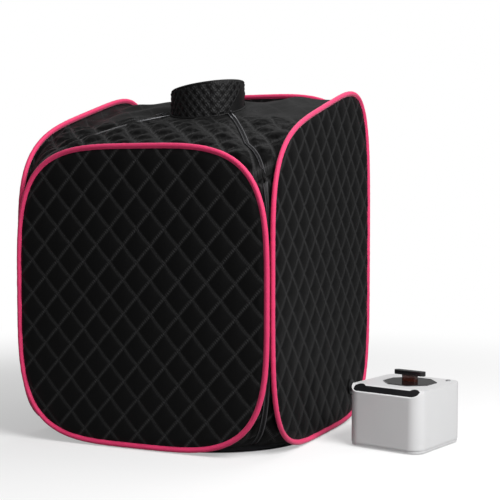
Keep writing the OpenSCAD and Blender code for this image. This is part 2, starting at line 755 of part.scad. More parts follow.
module handle_stem() {
    color(stem_brown) at_lid(stem_low) {
        translate([-stem_w / 2 + 8, -8, 0]) cube([stem_w - 16, 16, stem_h]);
        for (s = [-1, 1]) translate([s * (stem_w / 2 - 8), 0, 0]) cylinder(r = 8, h = stem_h);
    }
}
module handle_bar() {
    color(gloss_black) at_lid(stem_low + stem_h) {
        translate([-bar_l / 2 + bar_d / 2, -bar_d / 2, 0]) cube([bar_l - bar_d, bar_d, bar_h]);
        for (s = [-1, 1]) translate([s * (bar_l / 2 - bar_d / 2), 0, 0]) cylinder(r = bar_d / 2, h = bar_h);
    }
}

floor_mat();
side_panel(1);  // right_panel
side_panel(-1);  // left_panel
rear_panel();
piping(side_path(1), side_normal);  // right_piping
piping(side_path(-1), side_normal);  // left_piping
piping(rear_path, end_normal);  // rear_piping
hoop(side_path(1), side_normal);  // right_hoop
hoop(side_path(-1), side_normal);  // left_hoop
hoop(rear_path, end_normal);  // rear_hoop
side_liner(1);  // right_liner
side_liner(-1);  // left_liner
rear_liner();
front_gusset(1);  // right_front_gusset
front_gusset(-1);  // left_front_gusset
rear_gusset(1);  // right_rear_gusset
rear_gusset(-1);  // left_rear_gusset
roof_panel();
collar_rear();
zip_tape(1);  // right_zip_tape
zip_tape(-1);  // left_zip_tape
steam_inlet();
inlet_nut();
front_panel();
piping(front_path, end_normal);  // front_piping
hoop(front_path, end_normal);  // front_hoop
front_liner();
door_gusset(1);  // right_door_gusset
door_gusset(-1);  // left_door_gusset
door_tape(1);  // right_door_tape
door_tape(-1);  // left_door_tape
roof_flap();
collar_front();
collar_tab();
flap_tape(1);  // right_flap_tape
flap_tape(-1);  // left_flap_tape
zip_slider(1);  // right_zip_slider
zip_slider(-1);  // left_zip_slider
zip_pull(1);  // right_zip_pull
zip_pull(-1);  // left_zip_pull
generator_housing();
generator_base();
generator_feet();
base_screws();
control_panel();
control_board();
water_pot();
heating_element();
thermal_cutoff();
pot_gasket();
outlet_pipe();
steam_outlet();
power_inlet();
power_button();
lid_frame();
lid_window();
lid_seal();
lid_lock();
handle_stem();
handle_bar();
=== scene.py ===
import math

import bmesh
import bpy
import numpy as np
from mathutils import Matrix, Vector


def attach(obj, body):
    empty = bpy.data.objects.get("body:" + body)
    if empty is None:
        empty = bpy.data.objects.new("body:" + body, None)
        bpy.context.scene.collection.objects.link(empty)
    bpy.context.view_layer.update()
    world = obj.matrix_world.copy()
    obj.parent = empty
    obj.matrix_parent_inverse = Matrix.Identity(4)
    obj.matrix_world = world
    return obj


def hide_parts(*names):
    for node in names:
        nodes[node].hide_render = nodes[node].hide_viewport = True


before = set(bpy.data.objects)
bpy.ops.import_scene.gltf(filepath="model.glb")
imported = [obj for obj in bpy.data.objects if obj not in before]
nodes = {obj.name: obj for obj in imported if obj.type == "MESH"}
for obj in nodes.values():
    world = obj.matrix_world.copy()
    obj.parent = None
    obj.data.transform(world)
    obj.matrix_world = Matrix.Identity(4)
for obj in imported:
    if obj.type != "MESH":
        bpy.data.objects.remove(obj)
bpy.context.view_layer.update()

scene = bpy.context.scene
TAU = 2 * math.pi


# --- node helpers
class Graph:
    """A material with a Principled shader, and short calls to add nodes to it."""

    def __init__(self, name, color, rough, **constants):
        self.material = bpy.data.materials.new(name)
        self.material.use_nodes = True
        self.tree = self.material.node_tree
        self.shader = self.tree.nodes["Principled BSDF"]
        self.put("Base Color", (*color, 1.0))
        self.put("Roughness", rough)
        for key, value in constants.items():
            self.put(key.replace("_", " "), value)
        self.bumped = None

    def feed(self, socket, value):
        if isinstance(value, bpy.types.NodeSocket):
            self.tree.links.new(value, socket)
        else:
            socket.default_value = value

    def put(self, name, value):
        self.feed(self.shader.inputs[name], value)

    def node(self, kind, inputs=(), **props):
        made = self.tree.nodes.new(kind)
        for key, value in props.items():
            setattr(made, key, value)
        for key, value in dict(inputs).items():
            self.feed(made.inputs[key], value)
        return made

    def math(self, operation, a, b=0.0, c=0.0, clamp=False):
        inputs = {0: a, 1: b, 2: c}
        return self.node("ShaderNodeMath", inputs, operation=operation, use_clamp=clamp).outputs[0]

    def times(self, a, b):
        return self.math("MULTIPLY", a, b)

    def plus(self, a, b, clamp=False):
        return self.math("ADD", a, b, clamp=clamp)

    def mapped(self, name):
        """A surface map, and its two values one by one."""
        where = self.node("ShaderNodeUVMap", uv_map=name).outputs[0]
        parts = self.node("ShaderNodeSeparateXYZ", {0: where})
        return where, parts.outputs[0], parts.outputs[1]

    def place(self):
        return self.node("ShaderNodeTexCoord").outputs["Object"]

    def stretched(self, scale):
        return self.node("ShaderNodeMapping", {"Vector": self.place(), "Scale": scale}).outputs[0]

    def noise(self, scale, detail=3.0, rough=0.5, distortion=0.0, vector=None):
        return self.node("ShaderNodeTexNoise", {
            "Vector": vector or self.place(), "Scale": scale, "Detail": detail,
            "Roughness": rough, "Distortion": distortion,
        }).outputs[0]

    def span(self, value, low, high, to_low=0.0, to_high=1.0):
        return self.node("ShaderNodeMapRange", {
            0: value, 1: low, 2: high, 3: to_low, 4: to_high,
        }, interpolation_type="SMOOTHSTEP").outputs[0]

    def fall(self, value, low, high, rest=0.0):
        """1 up to low, then down to rest at high."""
        return self.span(value, low, high, 1.0, rest)

    def mix(self, factor, a, b):
        made = self.node("ShaderNodeMix", data_type="RGBA")
        self.feed(made.inputs[0], factor)
        for socket, value in ((made.inputs[6], a), (made.inputs[7], b)):
            self.feed(socket, value if isinstance(value, bpy.types.NodeSocket) else (*value, 1.0))
        return made.outputs[2]

    def bump(self, height, distance, strength=1.0):
        inputs = {"Height": height, "Distance": distance, "Strength": strength}
        if self.bumped:
            inputs["Normal"] = self.bumped
        self.bumped = self.node("ShaderNodeBump", inputs).outputs[0]
        self.put("Normal", self.bumped)

    def wave(self, vector, axis, scale, distortion=0.0):
        return self.node("ShaderNodeTexWave", {
            "Vector": vector, "Scale": scale, "Distortion": distortion, "Detail": 1.0, "Detail Scale": 2.0,
        }, wave_type="BANDS", bands_direction=axis).outputs["Fac"]

    def weave(self, pitch, distance, strength=0.5):
        """Plain weave of two crossing thread directions, pitch metres apart."""
        where = self.node("ShaderNodeUVMap", uv_map="cloth").outputs[0]
        per_metre = TAU / pitch / 20
        warp = self.wave(where, "X", per_metre)
        weft = self.wave(where, "Y", per_metre)
        self.bump(self.math("MAXIMUM", warp, weft), distance, strength)
        return self.math("MULTIPLY", warp, weft)


def color_of(red, green, blue):
    """Linear colour from display values of 0 to 255."""
    shares = [v / 255 for v in (red, green, blue)]
    return tuple(((v + 0.055) / 1.055) ** 2.4 if v > 10 / 255 else v / 12.92 for v in shares)


def shade(color, factor):
    return tuple(min(1.0, c * factor) for c in color)


# --- the tent's main sizes, as in the CAD
PLANE_X, PLANE_Y = 0.400, 0.407
END_W, FRONT_H, REAR_H, END_SQ = 0.392, 0.418, 0.511, 3.83
SIDE_D, SIDE_H, SIDE_SQ, SIDE_RISE = 0.389, 0.479, 4.33, 0.225
HOOP_BOTTOM, SLEEVE_R = 0.009, 0.0068
SIDE_MID = HOOP_BOTTOM + SIDE_H
COLLAR_R, COLLAR_WALL, COLLAR_Y, RIM_Z = 0.112, 0.008, 0.036, 1.035
RIM_X, RIM_Y = 0.149, -0.004
SEAM = math.radians(31)
SHOULDER, FOOT = math.radians(50), math.radians(168)
ZIP_LINE = [(0.105, -0.027), (0.290, -0.311), (0.370, -0.376)]
FOLD_END, FOLD_ZIP = (0.215, -0.398), (0.306, -0.324)
SHOULDER_INSET, INSET = 0.0064, 0.0135
QUILT_W, QUILT_H = 0.086, 0.095
COLLAR_W, COLLAR_H = TAU * COLLAR_R / 26, 0.033

# --- materials
PINK = color_of(228, 60, 110)
STITCH, SLEEVE_STITCH, PUCKER, STITCH_ROW = 0.0034, 0.0036, 0.0075, 0.0195


def line_gap(width, height):
    """Distance between neighbouring stitched lines of a quilt with cells of this width and height."""
    return width * height / math.hypot(width, height)


def quilt_material(name, base, lit, gap, sheen, wrinkle, shine=0.15, fade=None):
    """Satin quilting: stitched lines, a weave, puckers beside the stitches and wear, with painted sheen along the
    stitched lines.
    lit is the painted sheen colour beside the stitches, and fade the depths between which the painted sheen dies
    away."""
    rough = 0.5
    g = Graph(name, base, rough, Sheen_Weight=sheen, Sheen_Roughness=0.42, Specular_IOR_Level=shine)
    _, *ways = g.mapped("quilt")
    away, stitched, pucker = [], [], []
    for this, other in (ways, ways[::-1]):
        line = g.math("ABSOLUTE", g.plus(g.math("FRACT", g.plus(this, 0.5)), -0.5))
        distance = g.times(line, gap)
        away.append(distance)
        dash = g.math("FRACT", g.times(other, round(gap / STITCH)))
        stitched.append(g.times(g.fall(distance, 0.0004, 0.0009), g.fall(dash, 0.6, 0.72)))
        ripple = g.math("SINE", g.times(other, TAU * round(gap / PUCKER)))
        pucker.append(g.times(ripple, g.fall(distance, 0.0012, 0.008)))
    thread = g.math("MAXIMUM", *stitched)
    # painted sheen: the lit colour is laid along the stitched lines, where satin would catch the light
    valley_sheen = g.fall(g.math("MINIMUM", *away), 0.0010, 0.0075)
    if fade:
        depth = g.node("ShaderNodeSeparateXYZ", {0: g.place()}).outputs[1]
        valley_sheen = g.times(valley_sheen, g.fall(depth, *fade, 0.15))
    cloud, fleck = g.noise(7.0, 4.0, 0.6), g.noise(900.0, 2.0, 0.6)
    tone = g.plus(g.times(cloud, 0.55), g.times(fleck, 0.25))
    body = g.mix(tone, shade(base, 0.62), shade(base, 1.35))
    body = g.mix(g.times(valley_sheen, 0.75), body, lit)
    # the stitches are drawn in a tone lighter than the painted sheen
    g.put("Base Color", g.mix(g.times(thread, 0.7), body, shade(lit, 1.9)))
    crossing = g.weave(0.0011, 0.00012, 0.35)
    dull = g.plus(g.times(g.noise(24.0, 4.0, 0.6), 0.16), rough - 0.1)
    g.put("Roughness", g.plus(dull, g.times(crossing, 0.06), clamp=True))
    g.bump(g.plus(*pucker), 0.0007, 0.55)
    g.bump(g.noise(30.0, 4.0, 0.55, 1.2), wrinkle, 0.5)
    g.bump(thread, 0.0006, 0.8)
    return g.material


def fabric(name, base, rough, sheen, pitch, wrinkle, spread=0.22):
    """Graph of a plain woven fabric with soft colour variation and creases. pitch is between its threads."""
    g = Graph(name, base, rough, Sheen_Weight=sheen, Sheen_Roughness=0.4, Specular_IOR_Level=0.2)
    tone = g.plus(g.times(g.noise(11.0, 4.0, 0.6), 0.7), g.times(g.noise(700.0, 2.0), 0.3))
    g.put("Base Color", g.mix(tone, shade(base, 1 - spread), shade(base, 1 + spread)))
    crossing = g.weave(pitch, 0.00015, 0.5)
    dull = g.plus(g.times(g.noise(30.0, 3.0), 0.14), rough - 0.08)
    g.put("Roughness", g.plus(dull, g.times(crossing, 0.08), clamp=True))
    g.bump(g.noise(38.0, 4.0, 0.6, 0.8), wrinkle, 0.5)
    return g


def paint_over(g, mask, color):
    """Lays a colour over the graph's present one where mask is 1."""
    old = g.shader.inputs["Base Color"].links[0].from_socket
    g.put("Base Color", g.mix(mask, old, color))
    return g.material


def piping_material():
    """Pink sleeve: weave, small gathers across it and a line of stitches beside its flat seam."""
    g = fabric("piping_sleeve", PINK, 0.5, 0.35, 0.0009, 0.0006, 0.14)
    g.put("Sheen Tint", (1.0, 0.62, 0.74, 1.0))
    where, along, across = g.mapped("cloth")
    gathers = g.node("ShaderNodeMapping", {"Vector": where, "Scale": (1.0, 0.12, 1.0)}).outputs[0]
    g.bump(g.noise(150.0, 2.0, 0.5, 0.5, gathers), 0.0007, 0.55)
    beside = g.plus(g.math("ABSOLUTE", across), -STITCH_ROW)
    row = g.fall(g.math("ABSOLUTE", beside), 0.0003, 0.0007)
    dash = g.math("FRACT", g.times(along, 1 / SLEEVE_STITCH))
    thread = g.times(row, g.fall(dash, 0.62, 0.74))
    g.bump(thread, 0.0005, 0.8)
    return paint_over(g, g.times(thread, 0.6), shade(PINK, 0.55))


def zip_material():
    """Dark zip tape with a light woven line along its outer edge, with painted highlight making the line brighter
    near the zip's start.
    """
    g = fabric("zip_tape", color_of(26, 26, 28), 0.55, 0.02, 0.0009, 0.0003)
    _, along, across = g.mapped("cloth")
    # painted highlight: the edge line is bright near the zip's start and dims to 0.16 further along
    line = g.times(g.span(across, 0.0036, 0.0040), g.fall(along, 0.05, 0.12, 0.16))
    return paint_over(g, line, color_of(168, 168, 172))


def metal_material(name, base, rough, scratch):
    """Metal with fine scratches that run upwards."""
    g = Graph(name, base, rough, Metallic=1.0)
    streak = g.noise(scratch, 4.0, 0.6, 0.0, g.stretched((1.0, 1.0, 12.0)))
    g.put("Base Color", g.mix(g.noise(20.0, 3.0), shade(base, 0.82), base))
    g.put("Roughness", g.plus(g.times(streak, 0.22), rough - 0.1, clamp=True))
    g.bump(streak, 0.00006, 0.5)
    return g.material


def moulded_material(name, base, rough, grain, depth, coat=0.0, clear=0.0):
    """Moulded plastic or rubber: fine grain, faint colour variation and duller patches."""
    g = Graph(name, base, rough, Coat_Weight=coat, Coat_Roughness=0.12, Transmission_Weight=clear)
    if clear:
        g.put("IOR", 1.49)
    g.put("Base Color", g.mix(g.noise(9.0, 4.0, 0.6), shade(base, 0.97), shade(base, 1.02)))
    smear = g.noise(26.0, 5.0, 0.65, 0.6)
    g.put("Roughness", g.plus(g.times(smear, 0.07), rough - 0.035, clamp=True))
    g.bump(g.noise(grain, 3.0, 0.6), depth, 0.5)
    return g.material


def grey(value, blue=0.0):
    """A linear grey, a little bluer than even by blue."""
    return (value, value, value + blue)


PANEL_GAP, COLLAR_GAP = line_gap(QUILT_W, QUILT_H), line_gap(COLLAR_W, COLLAR_H)
MOULDED = {  # name, colour, roughness, grain and its depth, coat and share of light let through
    "teeth": ("zip_coil", color_of(34, 34, 36), 0.36, 900.0, 0.00004),
    "black_plastic": ("black_plastic", grey(0.012, 0.001), 0.42, 900.0, 0.00008),
    "gloss_black": ("gloss_black", grey(0.006, 0.001), 0.2, 300.0, 0.00002, 0.5),
    "shell": ("shell_white", grey(0.75, 0.005), 0.34, 420.0, 0.00001, 0.1),
    "rubber": ("rubber", grey(0.016), 0.7, 600.0, 0.0001),
    "silicone": ("silicone", grey(0.55, -0.02), 0.5, 500.0, 0.00005),
    "button": ("button_grey", grey(0.30, 0.01), 0.35, 500.0, 0.00004, 0.2),
    "board": ("board_green", (0.02, 0.12, 0.05), 0.35, 700.0, 0.00006),
    "smoke": ("smoked_window", grey(0.012, 0.001), 0.08, 240.0, 0.00001, 0.3, 0.4),
    "stem": ("amber_stem", (0.115, 0.028, 0.018), 0.16, 240.0, 0.00001, 0.3, 0.35),
}
material = {
    # the second colour of each quilt is its painted sheen along the stitched lines
    "quilt": quilt_material("quilt_satin", grey(0.0024, 0.0002), grey(0.023, 0.0005), PANEL_GAP, 0.012,
                            0.0016),
    "skin": quilt_material("roof_satin", grey(0.0014, 0.0001), grey(0.024, 0.0005), PANEL_GAP, 0.045, 0.0022,
                           0.06, (-0.20, -0.02)),
    "collar": quilt_material("collar_satin", grey(0.0022, 0.0002), grey(0.016, 0.0005), COLLAR_GAP, 0.012,
                             0.0008),
    "hem": fabric("hem_binding", grey(0.0045, 0.0002), 0.5, 0.02, 0.0008, 0.0006).material,
    "piping": piping_material(),
    "liner": fabric("liner_coated", color_of(150, 152, 156), 0.36, 0.05, 0.0013, 0.0016).material,
    "mat": fabric("mat_coated", color_of(142, 144, 149), 0.42, 0.05, 0.0016, 0.0014).material,
    "zip": zip_material(),
    "spring_steel": metal_material("spring_steel", grey(0.42, 0.02), 0.32, 260.0),
    "zip_metal": metal_material("zip_metal", grey(0.09, 0.005), 0.36, 420.0),
    "steel": metal_material("pot_steel", grey(0.62, 0.01), 0.26, 180.0),
}
for key, values in MOULDED.items():
    material[key] = moulded_material(*values)


# --- the tent's outlines
def spow(value, power):
    return np.sign(value) * np.abs(value) ** power


def end_outline(a, half_h, shrink=0.0):
    """Front or rear hoop in its plane, as X and Z; a is measured from the top."""
    x = (END_W - shrink) * spow(np.sin(a), 2 / END_SQ)
    z = HOOP_BOTTOM + half_h + (half_h - shrink) * spow(np.cos(a), 2 / END_SQ)
    return np.stack([x, z], -1)


def side_outline(a, shrink=0.0):
    """Side hoop in its plane, as Y and Z."""
    q = spow(np.sin(a), 2 / SIDE_SQ)
    lift = np.where(np.cos(a) > 0, 1 + SIDE_RISE * q, 1.0)
    z = SIDE_MID + (SIDE_H - shrink) * spow(np.cos(a), 2 / SIDE_SQ) * lift
    return np.stack([(SIDE_D - shrink) * q, z], -1)


def end_top(x, half_h):
    share = np.minimum(1, np.abs(x) / END_W)
    return HOOP_BOTTOM + half_h + half_h * np.maximum(0, 1 - share ** END_SQ) ** (1 / END_SQ)


def side_top(y):
    q = np.clip(y / SIDE_D, -1, 1)
    return SIDE_MID + SIDE_H * (1 - np.abs(q) ** SIDE_SQ) ** (1 / SIDE_SQ) * (1 + SIDE_RISE * q)


def roof_z(x, y):
    """Height of the roof's middle surface."""
    gaps = [PLANE_Y + y, PLANE_Y - y, PLANE_X - x, PLANE_X + x]
    weights = [1 / np.maximum(gap, 0.001) for gap in gaps]
    heights = [end_top(x, FRONT_H), end_top(x, REAR_H), side_top(y), side_top(y)]
    u, v = np.abs(x) / END_W, np.abs(y) / PLANE_Y
    bulge = 0.130 * (u * v) ** 4 * np.maximum(0, 1 - u ** 12) * np.maximum(0, 1 - v ** 12)
    u, v = np.clip((np.abs(x) - 0.12) / 0.28, 0, 1), np.clip((y + 0.15) / 0.557, 0, 1)
    full = 0.012 * np.sin(math.pi * u) * np.sin(math.pi * v)
    return sum(w * h for w, h in zip(weights, heights)) / sum(weights) + bulge + full


def space(plane, outline, offset=0.0):
    """Points of a hoop's plane in space. plane is a letter and its place, and offset is along its normal."""
    letter, at = plane
    first, height = outline[..., 0], outline[..., 1]
    fixed = np.full_like(first, at + offset) if np.isscalar(offset) else at + offset
    return np.stack([first, fixed, height] if letter == "y" else [fixed, first, height], -1)


def run_length(points):
    """Distance along a line at each of its points."""
    return np.concatenate([[0.0], np.cumsum(np.linalg.norm(np.diff(points, axis=0), axis=1))])


def read_at(at, far, points):
    """Points of a line at the given distances, where far is the distance at each of its own points."""
    return np.stack([np.interp(at, far, points[:, k]) for k in range(3)], 1)


def unit(vectors):
    return vectors / np.linalg.norm(vectors, axis=-1, keepdims=True)


def resample(points, count):
    """count points spaced evenly along a closed line, and its length."""
    loop = np.vstack([points, points[:1]])
    far = run_length(loop)
    return read_at(np.linspace(0, far[-1], count, endpoint=False), far, loop), far[-1]


class Wall:
    """One of the tent's four walls: its plane, the way it faces along x or y, its outline and its body."""

    def __init__(self, word, letter, out, half_h, body="tent", hole=None):
        self.word, self.letter, self.out, self.half_h = word, letter, out, half_h
        self.body, self.hole = body, hole
        self.axis = "xy".index(letter)
        self.plane = letter, out * (PLANE_X, PLANE_Y)[self.axis]
        self.mid_z = HOOP_BOTTOM + half_h
        self.normal = np.eye(3)[self.axis]

    def outline(self, a):
        return space(self.plane, side_outline(a) if self.letter == "x" else end_outline(a, self.half_h))

    def level(self, edge):
        """A function of a place on the wall, measured from its middle: 1 on the outline drawn in by edge, and
        less inside it."""
        side = self.letter == "x"
        half_w, power, rise = (SIDE_D, SIDE_SQ, SIDE_RISE) if side else (END_W, END_SQ, 0.0)
        wide, high = half_w - edge, self.half_h - edge

        def level(across, up):
            lift = np.where(up > 0, 1 + rise * np.clip(across / wide, -1, 1), 1.0)
            return (np.abs(across / wide) ** power + np.abs(up / (high * lift)) ** power) ** (1 / power)
        return level


INLET = (0.221, 0.108)
walls = [
    Wall("front", "y", -1, FRONT_H, "front_door"),
    Wall("rear", "y", 1, REAR_H),
    Wall("right", "x", 1, SIDE_H, hole=INLET),
    Wall("left", "x", -1, SIDE_H),
]
SIDES = ((1, "right"), (-1, "left"))


def waves(x, y, seed, count, short, long):
    """Random waves across a surface, each with its wavelength."""
    rng = np.random.default_rng(seed)
    for _ in range(count):
        angle, pitch, phase = rng.uniform(0, math.pi), rng.uniform(short, long), rng.uniform(0, TAU)
        yield np.sin((x * math.cos(angle) + y * math.sin(angle)) / pitch * TAU + phase), pitch


# --- meshes
def placed(name, data):
    """A new object in the scene."""
    made = bpy.data.objects.new(name, data)
    scene.collection.objects.link(made)
    return made


def shade_smooth(mesh, smooth=True):
    mesh.polygons.foreach_set("use_smooth", [smooth] * len(mesh.polygons))


def add_mesh(name, points, faces, look, maps=None, closed=True):
    """A smooth mesh object. maps is {map name: two values for each point}."""
    mesh = bpy.data.meshes.new(name)
    mesh.from_pydata([tuple(map(float, p)) for p in points], [], [tuple(map(int, f)) for f in faces])
    mesh.materials.append(material[look])
    made = placed(name, mesh)
    corner = np.zeros(len(mesh.loops), np.int32)
    mesh.loops.foreach_get("vertex_index", corner)
    for key, values in (maps or {}).items():
        layer = mesh.uv_layers.new(name=key)
        layer.data.foreach_set("uv", np.asarray(values, np.float32)[corner].ravel())
    if closed:
        bm = bmesh.new()
        bm.from_mesh(mesh)
        bmesh.ops.recalc_face_normals(bm, faces=bm.faces)
        bm.to_mesh(mesh)
        bm.free()
    shade_smooth(mesh)
    mesh.update()
    return made


def grid_faces(rows, columns, wrap=False, closed=False):
    """Quads of a grid of points. wrap joins each row's ends, and closed joins the last row to the first."""
    faces = []
    for i in range(rows if closed else rows - 1):
        this, after = i * columns, (i + 1) % rows * columns
        for j in range(columns if wrap else columns - 1):
            k = (j + 1) % columns
            faces.append((this + j, this + k, after + k, after + j))
    return faces


def border(faces):
    """Border edges of some faces, in the faces' direction."""
    seen = {}
    for f in faces:
        for a, b in zip(f, f[1:] + f[:1]):
            if (b, a) in seen:
                del seen[(b, a)]
            else:
                seen[(a, b)] = True
    return list(seen)


def closed_sheet(top, low, faces):
    """Points and faces of a closed sheet with the same net of faces above and below."""
    count = len(top)
    under = [tuple(count + v for v in reversed(f)) for f in faces]
    walls = [(a, count + a, count + b, b)[::-1] for a, b in border(faces)]
    return np.vstack([top, low]), list(faces) + under + walls


def add_sheet(name, top, low, faces, look, **maps):
    """A closed sheet as a mesh object. Each map has two values for each point of one side."""
    points, faces = closed_sheet(top, low, faces)
    return add_mesh(name, points, faces, look, {key: np.vstack([value] * 2) for key, value in maps.items()})


def declare(piece, body, slot, *stands_for, fill=None):
    """A piece's body, its finish (not used), the CAD nodes that it stands for, which are hidden, and, if it is
    padded, how full it is (not used).
    """
    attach(piece, body)
    if stands_for:
        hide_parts(*stands_for)
    return piece


def smooth_step(value, low, high):
    t = np.clip((value - low) / (high - low), 0, 1)
    return t * t * (3 - 2 * t)


def lattice(steps, keep, snap=None):
    """Net of the quilt's cells, with steps faces along a cell's side and its vertices on the stitched lines. keep
    says which faces stay, by their middles, and snap moves the border onto the outline. Gives the points, the
    faces, where a point lies on a stitched line of either direction, and the border's points."""
    half_w, half_h = QUILT_W / steps / 2, QUILT_H / steps / 2
    reach = math.ceil(1.2 * steps * (0.9 / QUILT_W + 0.9 / QUILT_H))
    at = lambda i, j: ((i + j) * half_w, (i - j) * half_h)
    index, faces = {}, []
    for i in range(-reach, reach):
        for j in range(-reach, reach):
            if keep(*at(i + 0.5, j + 0.5)):
                corners = ((i, j), (i, j + 1), (i + 1, j + 1), (i + 1, j))
                faces.append(tuple(index.setdefault(corner, len(index)) for corner in corners))
    points, quilt = np.array([at(*corner) for corner in index]), np.array(list(index))
    edge = np.array(sorted({v for pair in border(faces) for v in pair}))
    if snap:
        points[edge] = snap(points[edge])
    return points, faces, quilt % steps == 0, edge


def quilt_map(points, width=QUILT_W, height=QUILT_H):
    """Two values for each point that are whole numbers on the stitched lines of either direction."""
    across, up = points[:, 0] / width, points[:, 1] / height
    return np.stack([across + up, across - up], 1)


def puff(quilt, power=0.55):
    """From 0 on the stitched lines to 1 in the middle of a quilt cell."""
    return (np.abs(np.sin(math.pi * quilt[:, 0])) * np.abs(np.sin(math.pi * quilt[:, 1]))) ** power


waiting = []
CLOTH = dict(quality=4, mass=0.12, tension_stiffness=12, compression_stiffness=8, shear_stiffness=5,
             bending_stiffness=0.12, air_damping=6, use_pressure=True, shrink_min=-0.05,
             vertex_group_mass="pin")


def inflate(made, pinned, pressure, cap):
    """Puts made in the one cloth simulation. Pinned points stay, and the others move at most cap."""
    group = made.vertex_groups.new(name="pin")
    group.add([int(i) for i in np.nonzero(pinned)[0]], 1.0, "REPLACE")
    cloth = made.modifiers.new("Cloth", "CLOTH")
    for key, value in CLOTH.items():
        setattr(cloth.settings, key, value)
    cloth.settings.uniform_pressure_force = pressure
    cloth.settings.effector_weights.gravity = 0
    cloth.collision_settings.use_collision = False
    cloth.collision_settings.use_self_collision = False
    waiting.append((made, cap))


def points_of(mesh):
    values = np.zeros(len(mesh.vertices) * 3)
    mesh.vertices.foreach_get("co", values)
    return values.reshape(-1, 3)


def run_cloth(frames=16):
    """Steps every waiting cloth together, then writes the settled shape into the meshes."""
    if not waiting:
        return
    for number in range(1, frames + 1):
        scene.frame_set(number)
    graph = bpy.context.evaluated_depsgraph_get()
    for made, cap in waiting:
        before = points_of(made.data)
        move = points_of(made.evaluated_get(graph).data) - before
        size = np.linalg.norm(move, axis=1, keepdims=True)
        move *= np.minimum(1, cap / np.maximum(size, 1e-9))
        made.modifiers.remove(made.modifiers["Cloth"])
        made.data.vertices.foreach_set("co", (before + move).ravel())
        made.data.update()
    waiting.clear()
    scene.frame_set(1)


# --- quilted side, front and rear panels
EDGE, LINER_EDGE, PANEL_PROUD = 0.0050, 0.020, 0.0105
QUILT_STEPS, LINER_STEPS = 12, 6
RIM_SCALE = 0.39
HOLE_CUT, HOLE_PINNED, HOLE_RIM = 0.0185, 0.030, (0.024, 0.040)


def rim_of(size, width):
    """From 0 on an outline to 1 at about width inside it, from the outline's level."""
    return smooth_step((1 - size) * RIM_SCALE, 0.0, width)


def quilt_panel(wall):
    """Draft of a quilted panel, open at the back, whose cells puff outwards."""
    level = wall.level(EDGE)

    def snap(found):
        for _ in range(4):
            found = found / level(*found.T)[:, None]
        return found

    flat, faces, stitched, edge = lattice(QUILT_STEPS, lambda *at: level(*at) < 1.0, snap)
    quilt = quilt_map(flat)
    rim = rim_of(level(*flat.T), 0.018)
    flat = flat + [0.0, wall.mid_z]
    pinned = stitched.any(axis=1)
    pinned[edge] = True
    if wall.hole:
        away = np.hypot(*(flat - wall.hole).T)
        rim = rim * smooth_step(away, *HOLE_RIM)
        pinned |= away < HOLE_PINNED
    soft = 0.0010 + rim * (0.0008 + 0.0056 * puff(quilt))
    points = space(wall.plane, flat, wall.out * soft)
    draft = add_mesh(f"{wall.word}_quilt", points, faces, "quilt", closed=False)
    if draft.data.polygons[0].normal[wall.axis] * wall.out < 0:
        draft.data.flip_normals()
        faces = [tuple(reversed(f)) for f in faces]
    inflate(draft, pinned, 3.2, 0.005)
    return wall, draft, faces, flat, quilt, rim


def finish_panel(wall, draft, faces, flat, quilt, rim):
    """Closes a settled panel with its flat lining side, and cuts the hole for the steam inlet."""
    name, out = f"{wall.word}_quilt", wall.out
    top = points_of(draft.data)
    low = space(wall.plane, flat, -out * (rim * 0.0024 + 0.0010))
    limit = wall.plane[1] * out + PANEL_PROUD
    top[:, wall.axis] = out * np.minimum(top[:, wall.axis] * out, limit)
    if wall.hole:
        middle = np.array([flat[list(f)].mean(axis=0) for f in faces])
        outside = np.hypot(*(middle - wall.hole).T) > HOLE_CUT
        faces = [f for f, stays in zip(faces, outside) if stays]
        used = sorted({v for f in faces for v in f})
        order = {v: i for i, v in enumerate(used)}
        faces = [tuple(order[v] for v in f) for f in faces]
        top, low, flat, quilt = top[used], low[used], flat[used], quilt[used]
    bpy.data.objects.remove(draft)
    made = add_sheet(name, top, low, faces, "quilt", cloth=flat, quilt=quilt)
    declare(made, wall.body, "quilt", f"{wall.word}_panel", fill=0.55)


panels = [quilt_panel(wall) for wall in walls]

# --- roof
REACH_X, REACH_Y = PLANE_X - 0.004, PLANE_Y - 0.004
CUT_X = float(end_outline(np.array(SHOULDER), FRONT_H)[0])
CUT_Y = float(side_outline(np.array(SHOULDER))[0])
EDGE_X, EDGE_Y = 0.391, 0.398
ROOF_THICK, TRIM = 0.003, 0.0016
ROOF_HOLE, HOLE_EDGE, HOLE_REACH = 0.1065, 0.109, 0.1135


def line_distance(x, y, line):
    """Distance in plan from points to a line of several stretches."""
    best = np.full(np.shape(x), 9.0)
    for (x0, y0), (x1, y1) in zip(line, line[1:]):
        dx, dy = x1 - x0, y1 - y0
        t = np.clip(((x - x0) * dx + (y - y0) * dy) / (dx * dx + dy * dy), 0, 1)
        best = np.minimum(best, np.hypot(x - x0 - t * dx, y - y0 - t * dy))
    return best


def roof_rim(x, y):
    """0 along seams and edges of the roof and 1 away from them."""
    near_zip = line_distance(np.abs(x), y, ZIP_LINE)
    around = np.hypot(x, y - COLLAR_Y) - COLLAR_R
    side = np.minimum(EDGE_X - np.abs(x), EDGE_Y - np.abs(y))
    deep, wide = EDGE_Y - CUT_Y, EDGE_X - CUT_X
    corner = ((CUT_X - np.abs(x)) * deep + (EDGE_Y - np.abs(y)) * wide) / math.hypot(deep, wide)
    return (smooth_step(near_zip, 0.008, 0.026) * smooth_step(around, 0.002, 0.018)
            * smooth_step(side, 0.0, 0.022) * smooth_step(corner, 0.0, 0.022))


